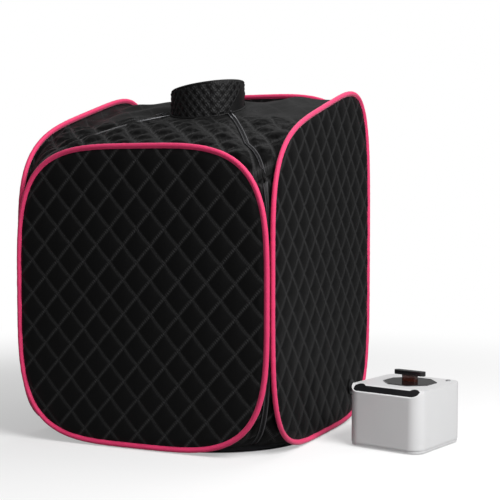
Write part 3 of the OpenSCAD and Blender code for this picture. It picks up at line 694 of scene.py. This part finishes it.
def roof_draft():
    """The whole roof as one open sheet with long soft folds, quilted in front and calm behind."""
    keep = lambda x, y: abs(x) < REACH_X + 0.012 and abs(y) < REACH_Y + 0.012
    flat, faces, stitched, edge = lattice(QUILT_STEPS, keep)
    x, y = flat.T
    rim = roof_rim(x, y)
    quilt = quilt_map(flat)
    calm = smooth_step(-y, 0.0, 0.20)
    folds = sum(wave * pitch * 0.011 for wave, pitch in waves(x, y, 11, 9, 0.09, 0.24))
    z = roof_z(np.clip(x, -PLANE_X, PLANE_X), np.clip(y, -PLANE_Y, PLANE_Y))
    z = z + 0.0012 + rim * (folds + calm * (0.0006 + 0.0085 * puff(quilt)))
    maps = {"quilt": quilt, "cloth": flat}
    draft = add_mesh("roof_draft", np.stack([x, y, z], 1), faces, "skin", maps, False)
    if draft.data.polygons[0].normal.z < 0:
        draft.data.flip_normals()
    pinned = stitched.any(axis=1) | (rim < 0.35) | (calm < 0.5)
    pinned[edge] = True
    inflate(draft, pinned, 2.6, 0.004)
    return draft


def roof_cuts():
    """Planes that cut the roof, as a place and a direction: along its zips and folds, and round it."""
    lines = []
    for s in (1, -1):
        path = [(s * x, y) for x, y in ZIP_LINE]
        lines += list(zip(path, path[1:]))
        lines.append(((s * FOLD_ZIP[0], FOLD_ZIP[1]), (s * FOLD_END[0], FOLD_END[1])))
    inner = [((x0, y0, 0), (y1 - y0, x0 - x1, 0)) for (x0, y0), (x1, y1) in lines]
    outer = [((REACH_X, 0, 0), (1, 0, 0)), ((-REACH_X, 0, 0), (-1, 0, 0)),
             ((0, REACH_Y, 0), (0, 1, 0)), ((0, -REACH_Y, 0), (0, -1, 0))]
    for sx in (1, -1):
        for sy in (1, -1):
            place = (sx * (CUT_X + TRIM), sy * (EDGE_Y + TRIM), 0)
            outer.append((place, (sx * (EDGE_Y - CUT_Y), sy * (EDGE_X - CUT_X), 0)))
    return inner, outer


def roof_piece(draft, name, wanted, body, *stands_for):
    """The faces of the settled roof whose middles are wanted, as a closed fabric piece."""
    bm = bmesh.new()
    bm.from_mesh(draft.data)
    inner, outer = roof_cuts()
    for (place, normal), trims in [(cut, False) for cut in inner] + [(cut, True) for cut in outer]:
        bmesh.ops.bisect_plane(bm, geom=bm.verts[:] + bm.edges[:] + bm.faces[:], dist=1e-6,
                               plane_co=place, plane_no=normal, clear_outer=trims)
    lost = []
    for f in bm.faces:
        c = f.calc_center_median()
        if math.hypot(c.x, c.y - COLLAR_Y) < ROOF_HOLE or not wanted(c.x, c.y):
            lost.append(f)
    bmesh.ops.delete(bm, geom=lost, context="FACES")
    for v in bm.verts:
        r = math.hypot(v.co.x, v.co.y - COLLAR_Y)
        if v.is_boundary and r < HOLE_REACH:
            v.co.x *= HOLE_EDGE / r
            v.co.y = COLLAR_Y + (v.co.y - COLLAR_Y) * HOLE_EDGE / r
    mesh = bpy.data.meshes.new(name)
    bm.normal_update()
    bm.to_mesh(mesh)
    bm.free()
    mesh.materials.append(material["skin"])
    made = placed(name, mesh)
    thicken(made)
    shade_smooth(made.data)
    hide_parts(*stands_for)
    declare(made, body, "skin", fill=0.3)


def thicken(made):
    """Gives an open sheet the roof's thickness, towards its back."""
    solid = made.modifiers.new("Thick", "SOLIDIFY")
    solid.thickness = ROOF_THICK
    solid.offset = -1
    solid.use_even_offset = False
    done = bpy.data.meshes.new_from_object(made.evaluated_get(bpy.context.evaluated_depsgraph_get()))
    old = made.data
    made.modifiers.clear()
    made.data = done
    bpy.data.meshes.remove(old)


def behind_zip(x, y):
    """True where the roof belongs to the tent: outside and behind the two zips."""
    x = abs(x)
    for (x0, y0), (x1, y1) in zip(ZIP_LINE, ZIP_LINE[1:]):
        if y1 <= y <= y0:
            return x > x0 + (x1 - x0) * (y - y0) / (y1 - y0)
    return y > ZIP_LINE[0][1] or x > ZIP_LINE[-1][0]


def in_flap(x, y):
    """True where the roof lifts with the front of the collar: between the zips and behind the folds."""
    if behind_zip(x, y):
        return False
    (x0, y0), (x1, y1) = FOLD_ZIP, FOLD_END
    return y > y0 or abs(x) < x0 + (x1 - x0) * (y - y0) / (y1 - y0)


roof = roof_draft()

# --- collar
COLLAR_BASE = float(roof_z(0.0, COLLAR_Y)) - 0.012
BASE_SLOPE = float(roof_z(0.0, COLLAR_Y + COLLAR_R) - roof_z(0.0, COLLAR_Y - COLLAR_R)) / (2 * COLLAR_R)
COLLAR_STEP, COLLAR_ROWS, PLAIN_END = 0.0031, 34, math.radians(24)
HEM_DROP = 0.0012
LAP_FROM, LAP_BASE = math.radians(-60), math.radians(-42)
LAP_TURN, LAP_LEAN, LAP_LIFT = math.radians(74), math.radians(125.8), 0.0145
LAP_ROWS, LAP_COLUMNS = 40, 58


def collar_height(theta, top):
    """Height of the collar's rim or base at a plan angle."""
    x, y = COLLAR_R * np.cos(theta), COLLAR_R * np.sin(theta)
    if top:
        return RIM_Z + RIM_X * x + RIM_Y * y
    return COLLAR_BASE + BASE_SLOPE * y


def on_ring(radius, theta, z):
    """Points of the collar's ring from plan angles and heights."""
    return np.stack([radius * np.cos(theta), COLLAR_Y + radius * np.sin(theta), z], -1)


def ring_sheet(name, look, theta, z, start, end, top_fade, outside, inside, body, *stands_for):
    """Quilted sheet on the collar's ring between two plan angles. outside is how far its outer side lies from
    the ring at the edges, how much more away from them, and how much more in a cell's middle. inside is where the
    inner side lies away from the edges, and how much further out at them."""
    rows, columns = z.shape
    share = np.linspace(0, 1, rows)[:, None]
    theta = np.broadcast_to(theta, z.shape)
    ends = np.minimum(theta - start, end - theta) * COLLAR_R
    rim = smooth_step(share, 0.0, 0.1) * smooth_step(1 - share, 0.0, top_fade) * smooth_step(ends, 0.0, 0.006)
    theta, z, rim = theta.ravel(), z.ravel(), rim.ravel()
    flat = np.stack([theta * COLLAR_R, z - 0.9], 1)
    quilt = quilt_map(flat, COLLAR_W, COLLAR_H)
    outer = on_ring(COLLAR_R + outside[0] + rim * (outside[1] + outside[2] * puff(quilt, 0.6)), theta, z)
    inner = on_ring(COLLAR_R + inside[0] + inside[1] * (1 - rim), theta, z)
    made = add_sheet(name, outer, inner, grid_faces(rows, columns), look, cloth=flat, quilt=quilt)
    declare(made, body, "quilt", *stands_for, fill=0.5)
    return outer.reshape(rows, columns, 3)


def collar_piece(name, start, end, body, *stands_for):
    """A part of the collar's wall. One that stands for no CAD node is the plain band."""
    columns = int(round((end - start) * COLLAR_R / COLLAR_STEP)) + 1
    theta = np.linspace(start, end, columns)
    low, high = collar_height(theta, False), collar_height(theta, True)
    z = low + (high - low) * np.linspace(0, 1, COLLAR_ROWS)[:, None]
    look, puffed = ("collar", 0.0042) if stands_for else ("hem", 0.0)
    ring_sheet(name, look, theta, z, start, end, 0.07, (-0.0022, 0.0008, puffed), (-COLLAR_WALL, 0.0015),
               body, *stands_for)


def tube(name, path, radius, look, closed=False, sides=10, squash_z=1.0):
    """A soft tube along a path, with its map in metres."""
    count = len(path)
    ahead = unit(np.roll(path, -1, 0) - np.roll(path, 1, 0) if closed else np.gradient(path, axis=0))
    side = unit(np.cross(ahead, [0.0, 0.0, 1.0]))
    above = squash_z * np.cross(side, ahead)
    angle = np.linspace(0, TAU, sides, endpoint=False)
    ring = np.cos(angle)[None, :, None] * side[:, None] + np.sin(angle)[None, :, None] * above[:, None]
    points = (path[:, None] + radius * ring).reshape(-1, 3)
    faces = grid_faces(count, sides, True, closed)
    if not closed:
        faces += [tuple(range(sides)), tuple((count - 1) * sides + j for j in range(sides))]
    where = np.stack([np.repeat(run_length(path), sides), np.tile(angle * radius, count)], 1)
    return add_mesh(name, points, faces, look, {"cloth": where, "quilt": where})


def collar_hems(word, start, end, body):
    """The bound rim of a part of the collar, and the seam along its foot."""
    theta = np.linspace(start, end, 160)
    rim = on_ring(COLLAR_R - COLLAR_WALL / 2, theta, collar_height(theta, True) - HEM_DROP)
    declare(tube(f"collar_{word}_hem", rim, 0.0046, "hem", sides=12), body, "quilt")
    foot = on_ring(COLLAR_R + 0.0008, np.linspace(start, end, 180), np.zeros(180))
    foot[:, 2] = roof_z(foot[:, 0], foot[:, 1]) + 0.003
    declare(tube(f"collar_{word}_seam", foot, 0.0033, "hem"), body, "quilt")


def lap_edge(z):
    """Plan angle of the lap's free edge at a height, where a slanting plane meets the ring."""
    base = COLLAR_BASE + BASE_SLOPE * COLLAR_R * math.sin(LAP_BASE)
    reach = COLLAR_R * math.cos(LAP_BASE - LAP_TURN) - (z - base) / math.tan(LAP_LEAN)
    return LAP_TURN - np.arccos(np.clip(reach / (COLLAR_R + 0.001), -1, 1))


def lap_height(theta):
    """Heights of the lap's rows, from above the collar's foot to its hem."""
    low = collar_height(theta, False) + LAP_LIFT
    return low + (collar_height(theta, True) - HEM_DROP - low) * np.linspace(0, 1, LAP_ROWS)[:, None]


def collar_lap():
    """Lapped end of the front collar over the right seam. Its free edge slants back from base to rim."""
    free = np.full((LAP_ROWS, 1), math.radians(-20))
    for _ in range(12):
        free = lap_edge(lap_height(free))
    theta = LAP_FROM + (free - LAP_FROM) * np.linspace(0, 1, LAP_COLUMNS)[None, :]
    outer = ring_sheet("collar_lap", "collar", theta, lap_height(theta), LAP_FROM, free, 0.06,
                       (0.0018, 0.0004, 0.0026), (0.0012, 0.0), "roof_front", "collar_tab")
    declare(tube("collar_lap_hem", outer[:, -1], 0.0016, "hem", sides=8), "roof_front", "quilt")


REAR_SEAM, FRONT_SEAM = math.pi + SEAM, TAU - SEAM
collar_piece("collar_rear_quilt", PLAIN_END, REAR_SEAM, "tent", "collar_rear")
collar_piece("collar_rear_band", -SEAM, PLAIN_END, "tent")
collar_piece("collar_front_quilt", REAR_SEAM, FRONT_SEAM, "roof_front", "collar_front")
collar_hems("rear", -SEAM, REAR_SEAM, "tent")
collar_hems("front", REAR_SEAM, FRONT_SEAM, "roof_front")
collar_lap()

# --- corner gussets
ZIP_SLOT = 0.012


def gusset_grid(side, end, w0, w1, columns, rows=120):
    """Middle surface of a corner gusset from shoulder to foot. w is 0 at the front or rear hoop, 1 at the side."""
    half_h, turn = (FRONT_H, -1) if end < 0 else (REAR_H, 1)
    a = SHOULDER + (FOOT - SHOULDER) * np.linspace(0, 1, rows)
    e2 = end_outline(a, half_h)
    s2 = side_outline(turn * a)
    end_p = np.stack([side * e2[:, 0], np.full(rows, end * PLANE_Y), e2[:, 1]], 1)
    side_p = np.stack([np.full(rows, side * PLANE_X), s2[:, 0], s2[:, 1]], 1)
    w = np.linspace(w0, w1, columns)
    inset = SHOULDER_INSET + (INSET - SHOULDER_INSET) * smooth_step(a, SHOULDER, SHOULDER + 0.35)
    grid = end_p[:, None] + w[None, :, None] * (side_p - end_p)[:, None]
    grid = grid + (inset / math.sqrt(2))[:, None, None] * np.array([-side, -end, 0.0])
    seam_x = side * (CUT_X + (EDGE_X - CUT_X) * w)
    seam_y = end * (EDGE_Y + (CUT_Y - EDGE_Y) * w)
    seam = np.stack([seam_x, seam_y, roof_z(seam_x, seam_y)], 1)
    fade = 1 - smooth_step(a, SHOULDER, SHOULDER + 0.5)
    return grid + fade[:, None, None] * (seam - grid[0])[None], w, a


def gusset(word, side, end, w0, w1, body):
    """Padded strip of a corner, whole or split by the zip's slot."""
    split = w1 - w0 < 0.9
    columns = 9 if split else 16
    grid, w, a = gusset_grid(side, end, w0, w1, columns)
    rows = len(a)
    across = np.linalg.norm(grid - grid[:, :1], axis=2)
    flat = np.stack([across.ravel(), grid[:, :, 2].ravel()], 1)
    quilt = quilt_map(flat)
    edge = np.minimum(w, 1 - w)
    if split:
        edge = np.minimum(edge, np.abs(w - 0.5))
    width = np.linalg.norm(grid[:, -1] - grid[:, 0], axis=1) / (w1 - w0)
    down = smooth_step(np.linspace(0, 1, rows), 0.0, 0.03)[:, None]
    rim = smooth_step(edge[None, :] * width[:, None], 0.0, 0.02) * down
    height = 0.0004 + rim.ravel() * (0.0011 + 0.0060 * puff(quilt))
    out = np.array([side, end, 0.0]) / math.sqrt(2)
    middle = grid.reshape(-1, 3)
    made = add_sheet(f"{word}_corner", middle + height[:, None] * out, middle - 0.0012 * out,
                     grid_faces(rows, columns), "skin", cloth=flat, quilt=quilt)
    declare(made, body, "skin", f"{word}_gusset", fill=0.3)


for side, word in SIDES:
    gusset(f"{word}_front", side, -1, 0.5 + ZIP_SLOT, 1.0, "tent")
    gusset(f"{word}_rear", side, 1, 0.0, 1.0, "tent")
    gusset(f"{word}_door", side, -1, 0.0, 0.5 - ZIP_SLOT, "front_door")

run_cloth()
for panel in panels:
    finish_panel(*panel)
roof_piece(roof, "roof_quilt", behind_zip, "tent", "roof_panel")
roof_piece(roof, "roof_flap_quilt", in_flap, "roof_front", "roof_flap")
for side, word in SIDES:
    wanted = lambda x, y: x * side > 0 and not behind_zip(x, y) and not in_flap(x, y)
    roof_piece(roof, f"{word}_shoulder_quilt", wanted, "front_door")
bpy.data.objects.remove(roof)

# --- piping
SLEEVE_COUNT, SEAM_X, SEAM_Z = 420, -0.0065, 0.0031


def sleeve_section():
    """Section of the piping as out and across: a round tube with a flat seam on its inner side."""
    bend = np.radians(np.linspace(-152, 152, 19))
    round_part = np.stack([np.cos(bend), np.sin(bend)], 1) * SLEEVE_R
    upper = np.array([(-0.0070, 0.0027), (-0.0080, 0.0024), (-0.0086, 0.0013)])
    return np.vstack([round_part, upper, [(-0.0088, 0.0)], upper[::-1] * [1, -1]])


def piping(wall, seed):
    """Padded sleeve round a hoop, a little thicker and thinner along its way."""
    path = wall.outline(np.linspace(0, TAU, 3000, endpoint=False))
    line, length = resample(path, SLEEVE_COUNT)
    ahead = unit(np.roll(line, -1, 0) - np.roll(line, 1, 0))
    out = unit(np.cross(ahead, wall.normal))
    out *= np.sign(((line - line.mean(axis=0)) * out).sum(axis=1))[:, None]
    rng = np.random.default_rng(seed)
    along = np.linspace(0, TAU, SLEEVE_COUNT, endpoint=False)
    swell = sum(np.sin(along * cycles + rng.uniform(0, TAU)) for cycles in rng.integers(40, 190, 14))
    swell = 1 + 0.008 * swell[:, None]
    section = sleeve_section()
    reach = section[:, 0] * np.where(section[:, 0] > SEAM_X, swell, 1.0)
    spread = section[:, 1] * np.where(np.abs(section[:, 1]) > SEAM_Z, swell, 1.0)
    points = line[:, None] + reach[..., None] * out[:, None] + spread[..., None] * wall.normal
    sides = len(section)
    ring = run_length(section)
    far = np.linspace(0, length, SLEEVE_COUNT, endpoint=False)
    where = np.stack([np.repeat(far, sides), np.tile(ring - ring[9], SLEEVE_COUNT)], 1)
    made = add_mesh(f"{wall.word}_sleeve", points.reshape(-1, 3), grid_faces(SLEEVE_COUNT, sides, True, True),
                    "piping", {"cloth": where})
    declare(made, wall.body, "piping", f"{wall.word}_piping", fill=1.0)


for seed, wall in enumerate(walls, 3):
    piping(wall, seed)


# --- liners and floor mat
MAT_X, MAT_Y, MAT_SQ = 0.391, 0.3915, 2.6
LINER_BACK, LINER_THICK, LINER_HOLE = 0.0046, 0.0008, 0.0225
MAT_FOLD = 0.006


def wrinkles(x, z, seed, height):
    return sum(wave for wave, _ in waves(x, z, seed, 12, 0.05, 0.22)) / 12 * height


def one_side(made):
    """Area of one side of a thin closed sheet."""
    return float(round(sum(f.area for f in made.data.polygons) / 2, 3))


def liner(wall, seed):
    """Coated lining behind a panel, slightly slack."""
    level = wall.level(LINER_EDGE)
    hole = wall.hole and (wall.hole[0], wall.hole[1] - wall.mid_z)
    keep = lambda *at: level(*at) < 1.0 and not (hole and math.dist(at, hole) <= LINER_HOLE)

    def snap(found):
        size = level(*found.T)
        outer = size > 0.9
        found[outer] = found[outer] / size[outer][:, None]
        return found

    flat, faces, _, _ = lattice(LINER_STEPS, keep, snap)
    slack = rim_of(level(*flat.T), 0.05)
    flat = flat + [0.0, wall.mid_z]
    depth = LINER_BACK + slack * (0.0012 + wrinkles(*flat.T, seed, 0.0024))
    top, low = [space(wall.plane, flat, -wall.out * d) for d in (depth, depth + LINER_THICK)]
    made = add_sheet(f"{wall.word}_lining", top, low, faces, "liner", cloth=flat)
    declare(made, wall.body, "liner", f"{wall.word}_liner")


def mat_level(x, y):
    return (np.abs(x / MAT_X) ** MAT_SQ + np.abs(y / MAT_Y) ** MAT_SQ) ** (1 / MAT_SQ)


def floor_mat():
    """The floor's cloth with soft wrinkles and the marks of three folds, and the binding round it."""
    snap = lambda found: found * 0.9985 / mat_level(*found.T)[:, None]
    flat, faces, _, _ = lattice(LINER_STEPS, lambda *at: mat_level(*at) < 1.0, snap)
    x, y = flat.T
    inner = rim_of(mat_level(x, y), 0.04)
    fold = sum(np.exp(-((line / MAT_FOLD) ** 2)) for line in (x - 0.12, x + 0.13, y - 0.02))
    top = np.column_stack([flat, 0.0022 + inner * (0.0009 + wrinkles(x, y, 31, 0.0016) + 0.0007 * fold)])
    low = np.column_stack([flat, np.full(len(flat), 0.0004)])
    mat = declare(add_sheet("floor_cloth", top, low, faces, "mat", cloth=flat), "tent", "liner", "floor_mat")
    area = one_side(mat)
    a = np.linspace(0, TAU, 3000, endpoint=False)
    around = np.stack([MAT_X * spow(np.sin(a), 2 / MAT_SQ), MAT_Y * spow(np.cos(a), 2 / MAT_SQ)], 1) * 0.992
    path, _ = resample(np.column_stack([around, np.full(len(a), 0.0024)]), 240)
    binding = tube("floor_cloth_binding", path, 0.0022, "hem", closed=True, sides=8, squash_z=0.8)
    declare(binding, "tent", "liner")


for seed, wall in enumerate(walls, 21):
    liner(wall, seed)
floor_mat()

# --- zips
ZIP_GAP, TAPE_W, TAPE_T, TAPE_RISE = 0.0015, 0.006, 0.0012, 0.0040
TOOTH, TOOTH_PITCH, TOOTH_LONG = 0.0011, 0.0022, 0.0009
ZIP_STEP = 0.008
CORNER_A = np.linspace(math.radians(54), math.radians(156), 150)
CORNERS = {side: gusset_grid(side, -1, 0.0, 1.0, 41) for side, _ in SIDES}
ZIP_FOOT = (ZIP_LINE[2][0] - 0.008, ZIP_LINE[2][1] + 0.010)
ACROSS = (ZIP_GAP, ZIP_GAP + TAPE_W / 2, ZIP_GAP + TAPE_W)
BACK = tuple(-d for d in reversed(ACROSS))


def along_line(*line):
    """Plan points along a line of several stretches."""
    points = []
    for (x0, y0), (x1, y1) in zip(line, line[1:]):
        count = max(2, int(math.hypot(x1 - x0, y1 - y0) / ZIP_STEP))
        points += [(x0 + (x1 - x0) * t / count, y0 + (y1 - y0) * t / count) for t in range(count)]
    return np.array(points + [line[-1]])


def corner_out(side):
    return np.array([side, -1.0, 0.0]) / math.sqrt(2)


def corner_rows(side, offsets):
    """Rows of points beside a corner's zip at the given distances from its middle, lifted off the gusset."""
    grid, _, angles = CORNERS[side]
    wide = np.linalg.norm(grid[:, -1] - grid[:, 0], axis=1)
    rows, last = np.arange(len(angles)), grid.shape[1] - 1
    found = []
    for d in offsets:
        place = np.clip(0.5 + d / wide, 0, 1) * last
        left = np.minimum(place.astype(int), last - 1)
        share = (place - left)[:, None]
        line = grid[rows, left] * (1 - share) + grid[rows, left + 1] * share
        found.append(read_at(CORNER_A, angles, line) + TAPE_RISE * corner_out(side))
    return np.stack(found, 1)


def roof_rows(side, line, offsets):
    """Rows of points beside a roof zip."""
    rows = []
    for d in offsets:
        x = side * (line[:, 0] + d)
        rows.append(np.stack([x, line[:, 1], roof_z(x, line[:, 1]) + TAPE_RISE], 1))
    return np.stack(rows, 1)


def joined(name, parts, look):
    """One mesh object from several (points, faces, map) parts."""
    points, faces, flat, start = [], [], [], 0
    for p, f, m in parts:
        points.append(p)
        flat.append(m)
        faces += [tuple(v + start for v in face) for face in f]
        start += len(p)
    return add_mesh(name, np.vstack(points), faces, look, {"cloth": np.vstack(flat)})


def ribbon(rows, up, outer_last, begin):
    """Closed tape from rows of points. Its map starts at begin, and runs across from its teeth."""
    n, m = rows.shape[:2]
    half = up * TAPE_T / 2
    points, faces = closed_sheet(rows.reshape(-1, 3) + half, rows.reshape(-1, 3) - half, grid_faces(n, m))
    across = np.linspace(0, TAPE_W, m)[::1 if outer_last else -1]
    flat = np.stack([np.repeat(run_length(rows[:, 0]) + begin, m), np.tile(across, n)], 1)
    return points, faces, np.vstack([flat, flat])


TOOTH_SHAPE = [(u, v * 0.7, 0) for u, v in ((-1, -1), (1, -1), (1, 1), (-1, 1))]
TOOTH_SHAPE += [(u * 0.7, v * 0.45, 1) for u, v in ((-1, -1), (1, -1), (1, 1), (-1, 1))]
TOOTH_FACES = [(0, 3, 2, 1), (4, 5, 6, 7), (0, 1, 5, 4), (1, 2, 6, 5), (2, 3, 7, 6), (3, 0, 4, 7)]


def teeth(path, across, up):
    """Small coil teeth along one edge of a tape."""
    far = run_length(path)
    at = np.arange(0.001, far[-1], TOOTH_PITCH)
    centre = read_at(at, far, path)
    ahead, over = unit(np.gradient(centre, axis=0)), unit(read_at(at, far, across))
    points, faces = [], []
    for c, a, o in zip(centre, ahead, over):
        start = len(points)
        points += [c + o * (u * TOOTH) + a * (v * TOOTH_LONG) + up * (w * TOOTH) for u, v, w in TOOTH_SHAPE]
        faces += [tuple(start + i for i in f) for f in TOOTH_FACES]
    points = np.array(points)
    return points, faces, points[:, :2]


def zip_tape(node, body, runs):
    """A zip tape and its row of teeth. Each run is its rows of points, the way up and its map's start."""
    outer_last = body == "tent"
    teeth_at, other = (0, -1) if outer_last else (-1, 0)
    parts = [ribbon(rows, up, outer_last, begin) for rows, up, begin in runs]
    declare(joined(f"{node}_cloth", parts, "zip"), body, "zip", node)
    parts = []
    for rows, up, _ in runs:
        edge = rows[:, teeth_at]
        parts.append(teeth(edge + up * TAPE_T / 2, edge - rows[:, other], up))
    coil = joined(f"{node}_teeth", parts, "teeth")
    shade_smooth(coil.data, False)
    declare(coil, body, "zip")


for side, word in SIDES:
    whole, upper = along_line(*ZIP_LINE[:2], ZIP_FOOT), along_line(*ZIP_LINE[:2], FOLD_ZIP)
    lower = along_line(FOLD_ZIP, ZIP_FOOT)
    top, out = np.array([0.0, 0.0, 1.0]), corner_out(side)
    # each run's map start sets how much of the painted highlight near the zip's start it gets
    zip_tape(f"{word}_zip_tape", "tent",
             [(roof_rows(side, whole, ACROSS), top, 0.0), (corner_rows(side, ACROSS), out, 0.5)])
    zip_tape(f"{word}_flap_tape", "roof_front", [(roof_rows(side, upper, BACK), top, 0.0)])
    zip_tape(f"{word}_door_tape", "front_door",
             [(roof_rows(side, lower, BACK), top, 0.4), (corner_rows(side, BACK), out, 0.5)])

# --- CAD nodes that stay
KEPT = {
    "spring_steel": ["right_hoop", "left_hoop", "rear_hoop", "front_hoop", "base_screws"],
    "zip_metal": ["right_zip_slider", "left_zip_slider", "right_zip_pull", "left_zip_pull"],
    "black_plastic": ["steam_inlet", "inlet_nut", "steam_outlet", "power_inlet", "thermal_cutoff"],
    "shell": ["generator_housing", "generator_base"],
    "rubber": ["generator_feet", "pot_gasket"],
    "gloss_black": ["control_panel", "lid_frame", "handle_bar"],
    "board": ["control_board"],
    "steel": ["water_pot", "heating_element", "lid_lock"],
    "silicone": ["outlet_pipe", "lid_seal"],
    "button": ["power_button"],
    "smoke": ["lid_window"],
    "stem": ["handle_stem"],
}
BEVEL = {"generator_housing": 0.0016, "generator_base": 0.001, "handle_bar": 0.0025, "handle_stem": 0.0012,
         "lid_frame": 0.0006, "control_panel": 0.0006, "power_button": 0.0012, "lid_window": 0.0004}
for look, names in KEPT.items():
    for name in names:
        part = nodes[name]
        part.data.materials.clear()
        part.data.materials.append(material[look])
        bevel = part.modifiers.new("Edge", "BEVEL")
        bevel.width = BEVEL.get(name, 0.0005)
        bevel.segments = 3 if name in BEVEL else 2
        bevel.limit_method = "ANGLE"
        bevel.angle_limit = math.radians(32)
        bevel.harden_normals = False
        shade_smooth(part.data)
        part.modifiers.new("Normals", "WEIGHTED_NORMAL").keep_sharp = True

# --- stage, light and camera
WHITE = (1.0, 1.0, 1.0, 1.0)
FLOOR_HALF = 30


def studio_floor():
    """A pale floor that turns to plain white away from the object, and is grey in what it reflects."""
    corners = [(sx * FLOOR_HALF, sy * FLOOR_HALF, 0) for sx, sy in ((-1, -1), (1, -1), (1, 1), (-1, 1))]
    mesh = bpy.data.meshes.new("studio_floor")
    mesh.from_pydata(corners, [], [(0, 1, 2, 3)])
    floor = placed("studio_floor", mesh)
    g = Graph("studio_white", grey(0.93), 0.7, Specular_IOR_Level=0.0)
    seen = g.node("ShaderNodeLightPath").outputs["Is Camera Ray"]
    g.put("Base Color", g.mix(seen, grey(0.30), grey(0.93)))
    reach = g.node("ShaderNodeVectorMath", {0: g.place()}, operation="LENGTH").outputs["Value"]
    white = g.times(seen, g.plus(g.times(g.span(reach, 0.9, 2.6), 0.6), 0.4))
    glow = g.node("ShaderNodeEmission", {"Color": WHITE, "Strength": 1.0}).outputs[0]
    both = g.node("ShaderNodeMixShader", {0: white, 1: g.shader.outputs[0], 2: glow}).outputs[0]
    g.feed(g.tree.nodes["Material Output"].inputs["Surface"], both)
    mesh.materials.append(g.material)


def look_along(made, place, ahead):
    made.location = place
    made.rotation_euler = Vector(ahead).to_track_quat("-Z", "Y").to_euler()


def area_light(name, place, aim, size, power):
    data = bpy.data.lights.new(name, "AREA")
    data.size = size
    data.energy = power
    look_along(placed(name, data), place, Vector(aim) - Vector(place))


def studio_world(light=0.19):
    """A world that looks white to the camera and lights the object softly."""
    world = bpy.data.worlds.new("studio")
    world.use_nodes = True
    tree = world.node_tree
    back = tree.nodes["Background"]
    back.inputs[0].default_value = WHITE
    ray = tree.nodes.new("ShaderNodeLightPath")
    level = tree.nodes.new("ShaderNodeMapRange")
    level.inputs[3].default_value = light
    level.inputs[4].default_value = 1.0
    tree.links.new(ray.outputs["Is Camera Ray"], level.inputs[0])
    tree.links.new(level.outputs[0], back.inputs[1])
    scene.world = world


def view_camera(place, ahead, lens):
    data = bpy.data.cameras.new("camera")
    data.lens = lens
    data.sensor_width = 36
    data.clip_end = 100
    scene.camera = placed("camera", data)
    look_along(scene.camera, place, ahead)


studio_floor()
area_light("key", (2.9, -1.3, 2.9), (0.3, 0.0, 0.4), 2.2, 174)
area_light("top", (0.4, 1.2, 3.4), (0.2, 0.0, 0.6), 2.6, 34)
area_light("fill", (0.9, -4.2, 1.3), (0.1, 0.0, 0.5), 2.4, 13)
studio_world()
scene.view_settings.view_transform = "Standard"
scene.view_settings.look = "None"
view_camera((1.6486, -3.2946, 0.7430), (-0.4115, 0.9097, -0.0560), 86.46)
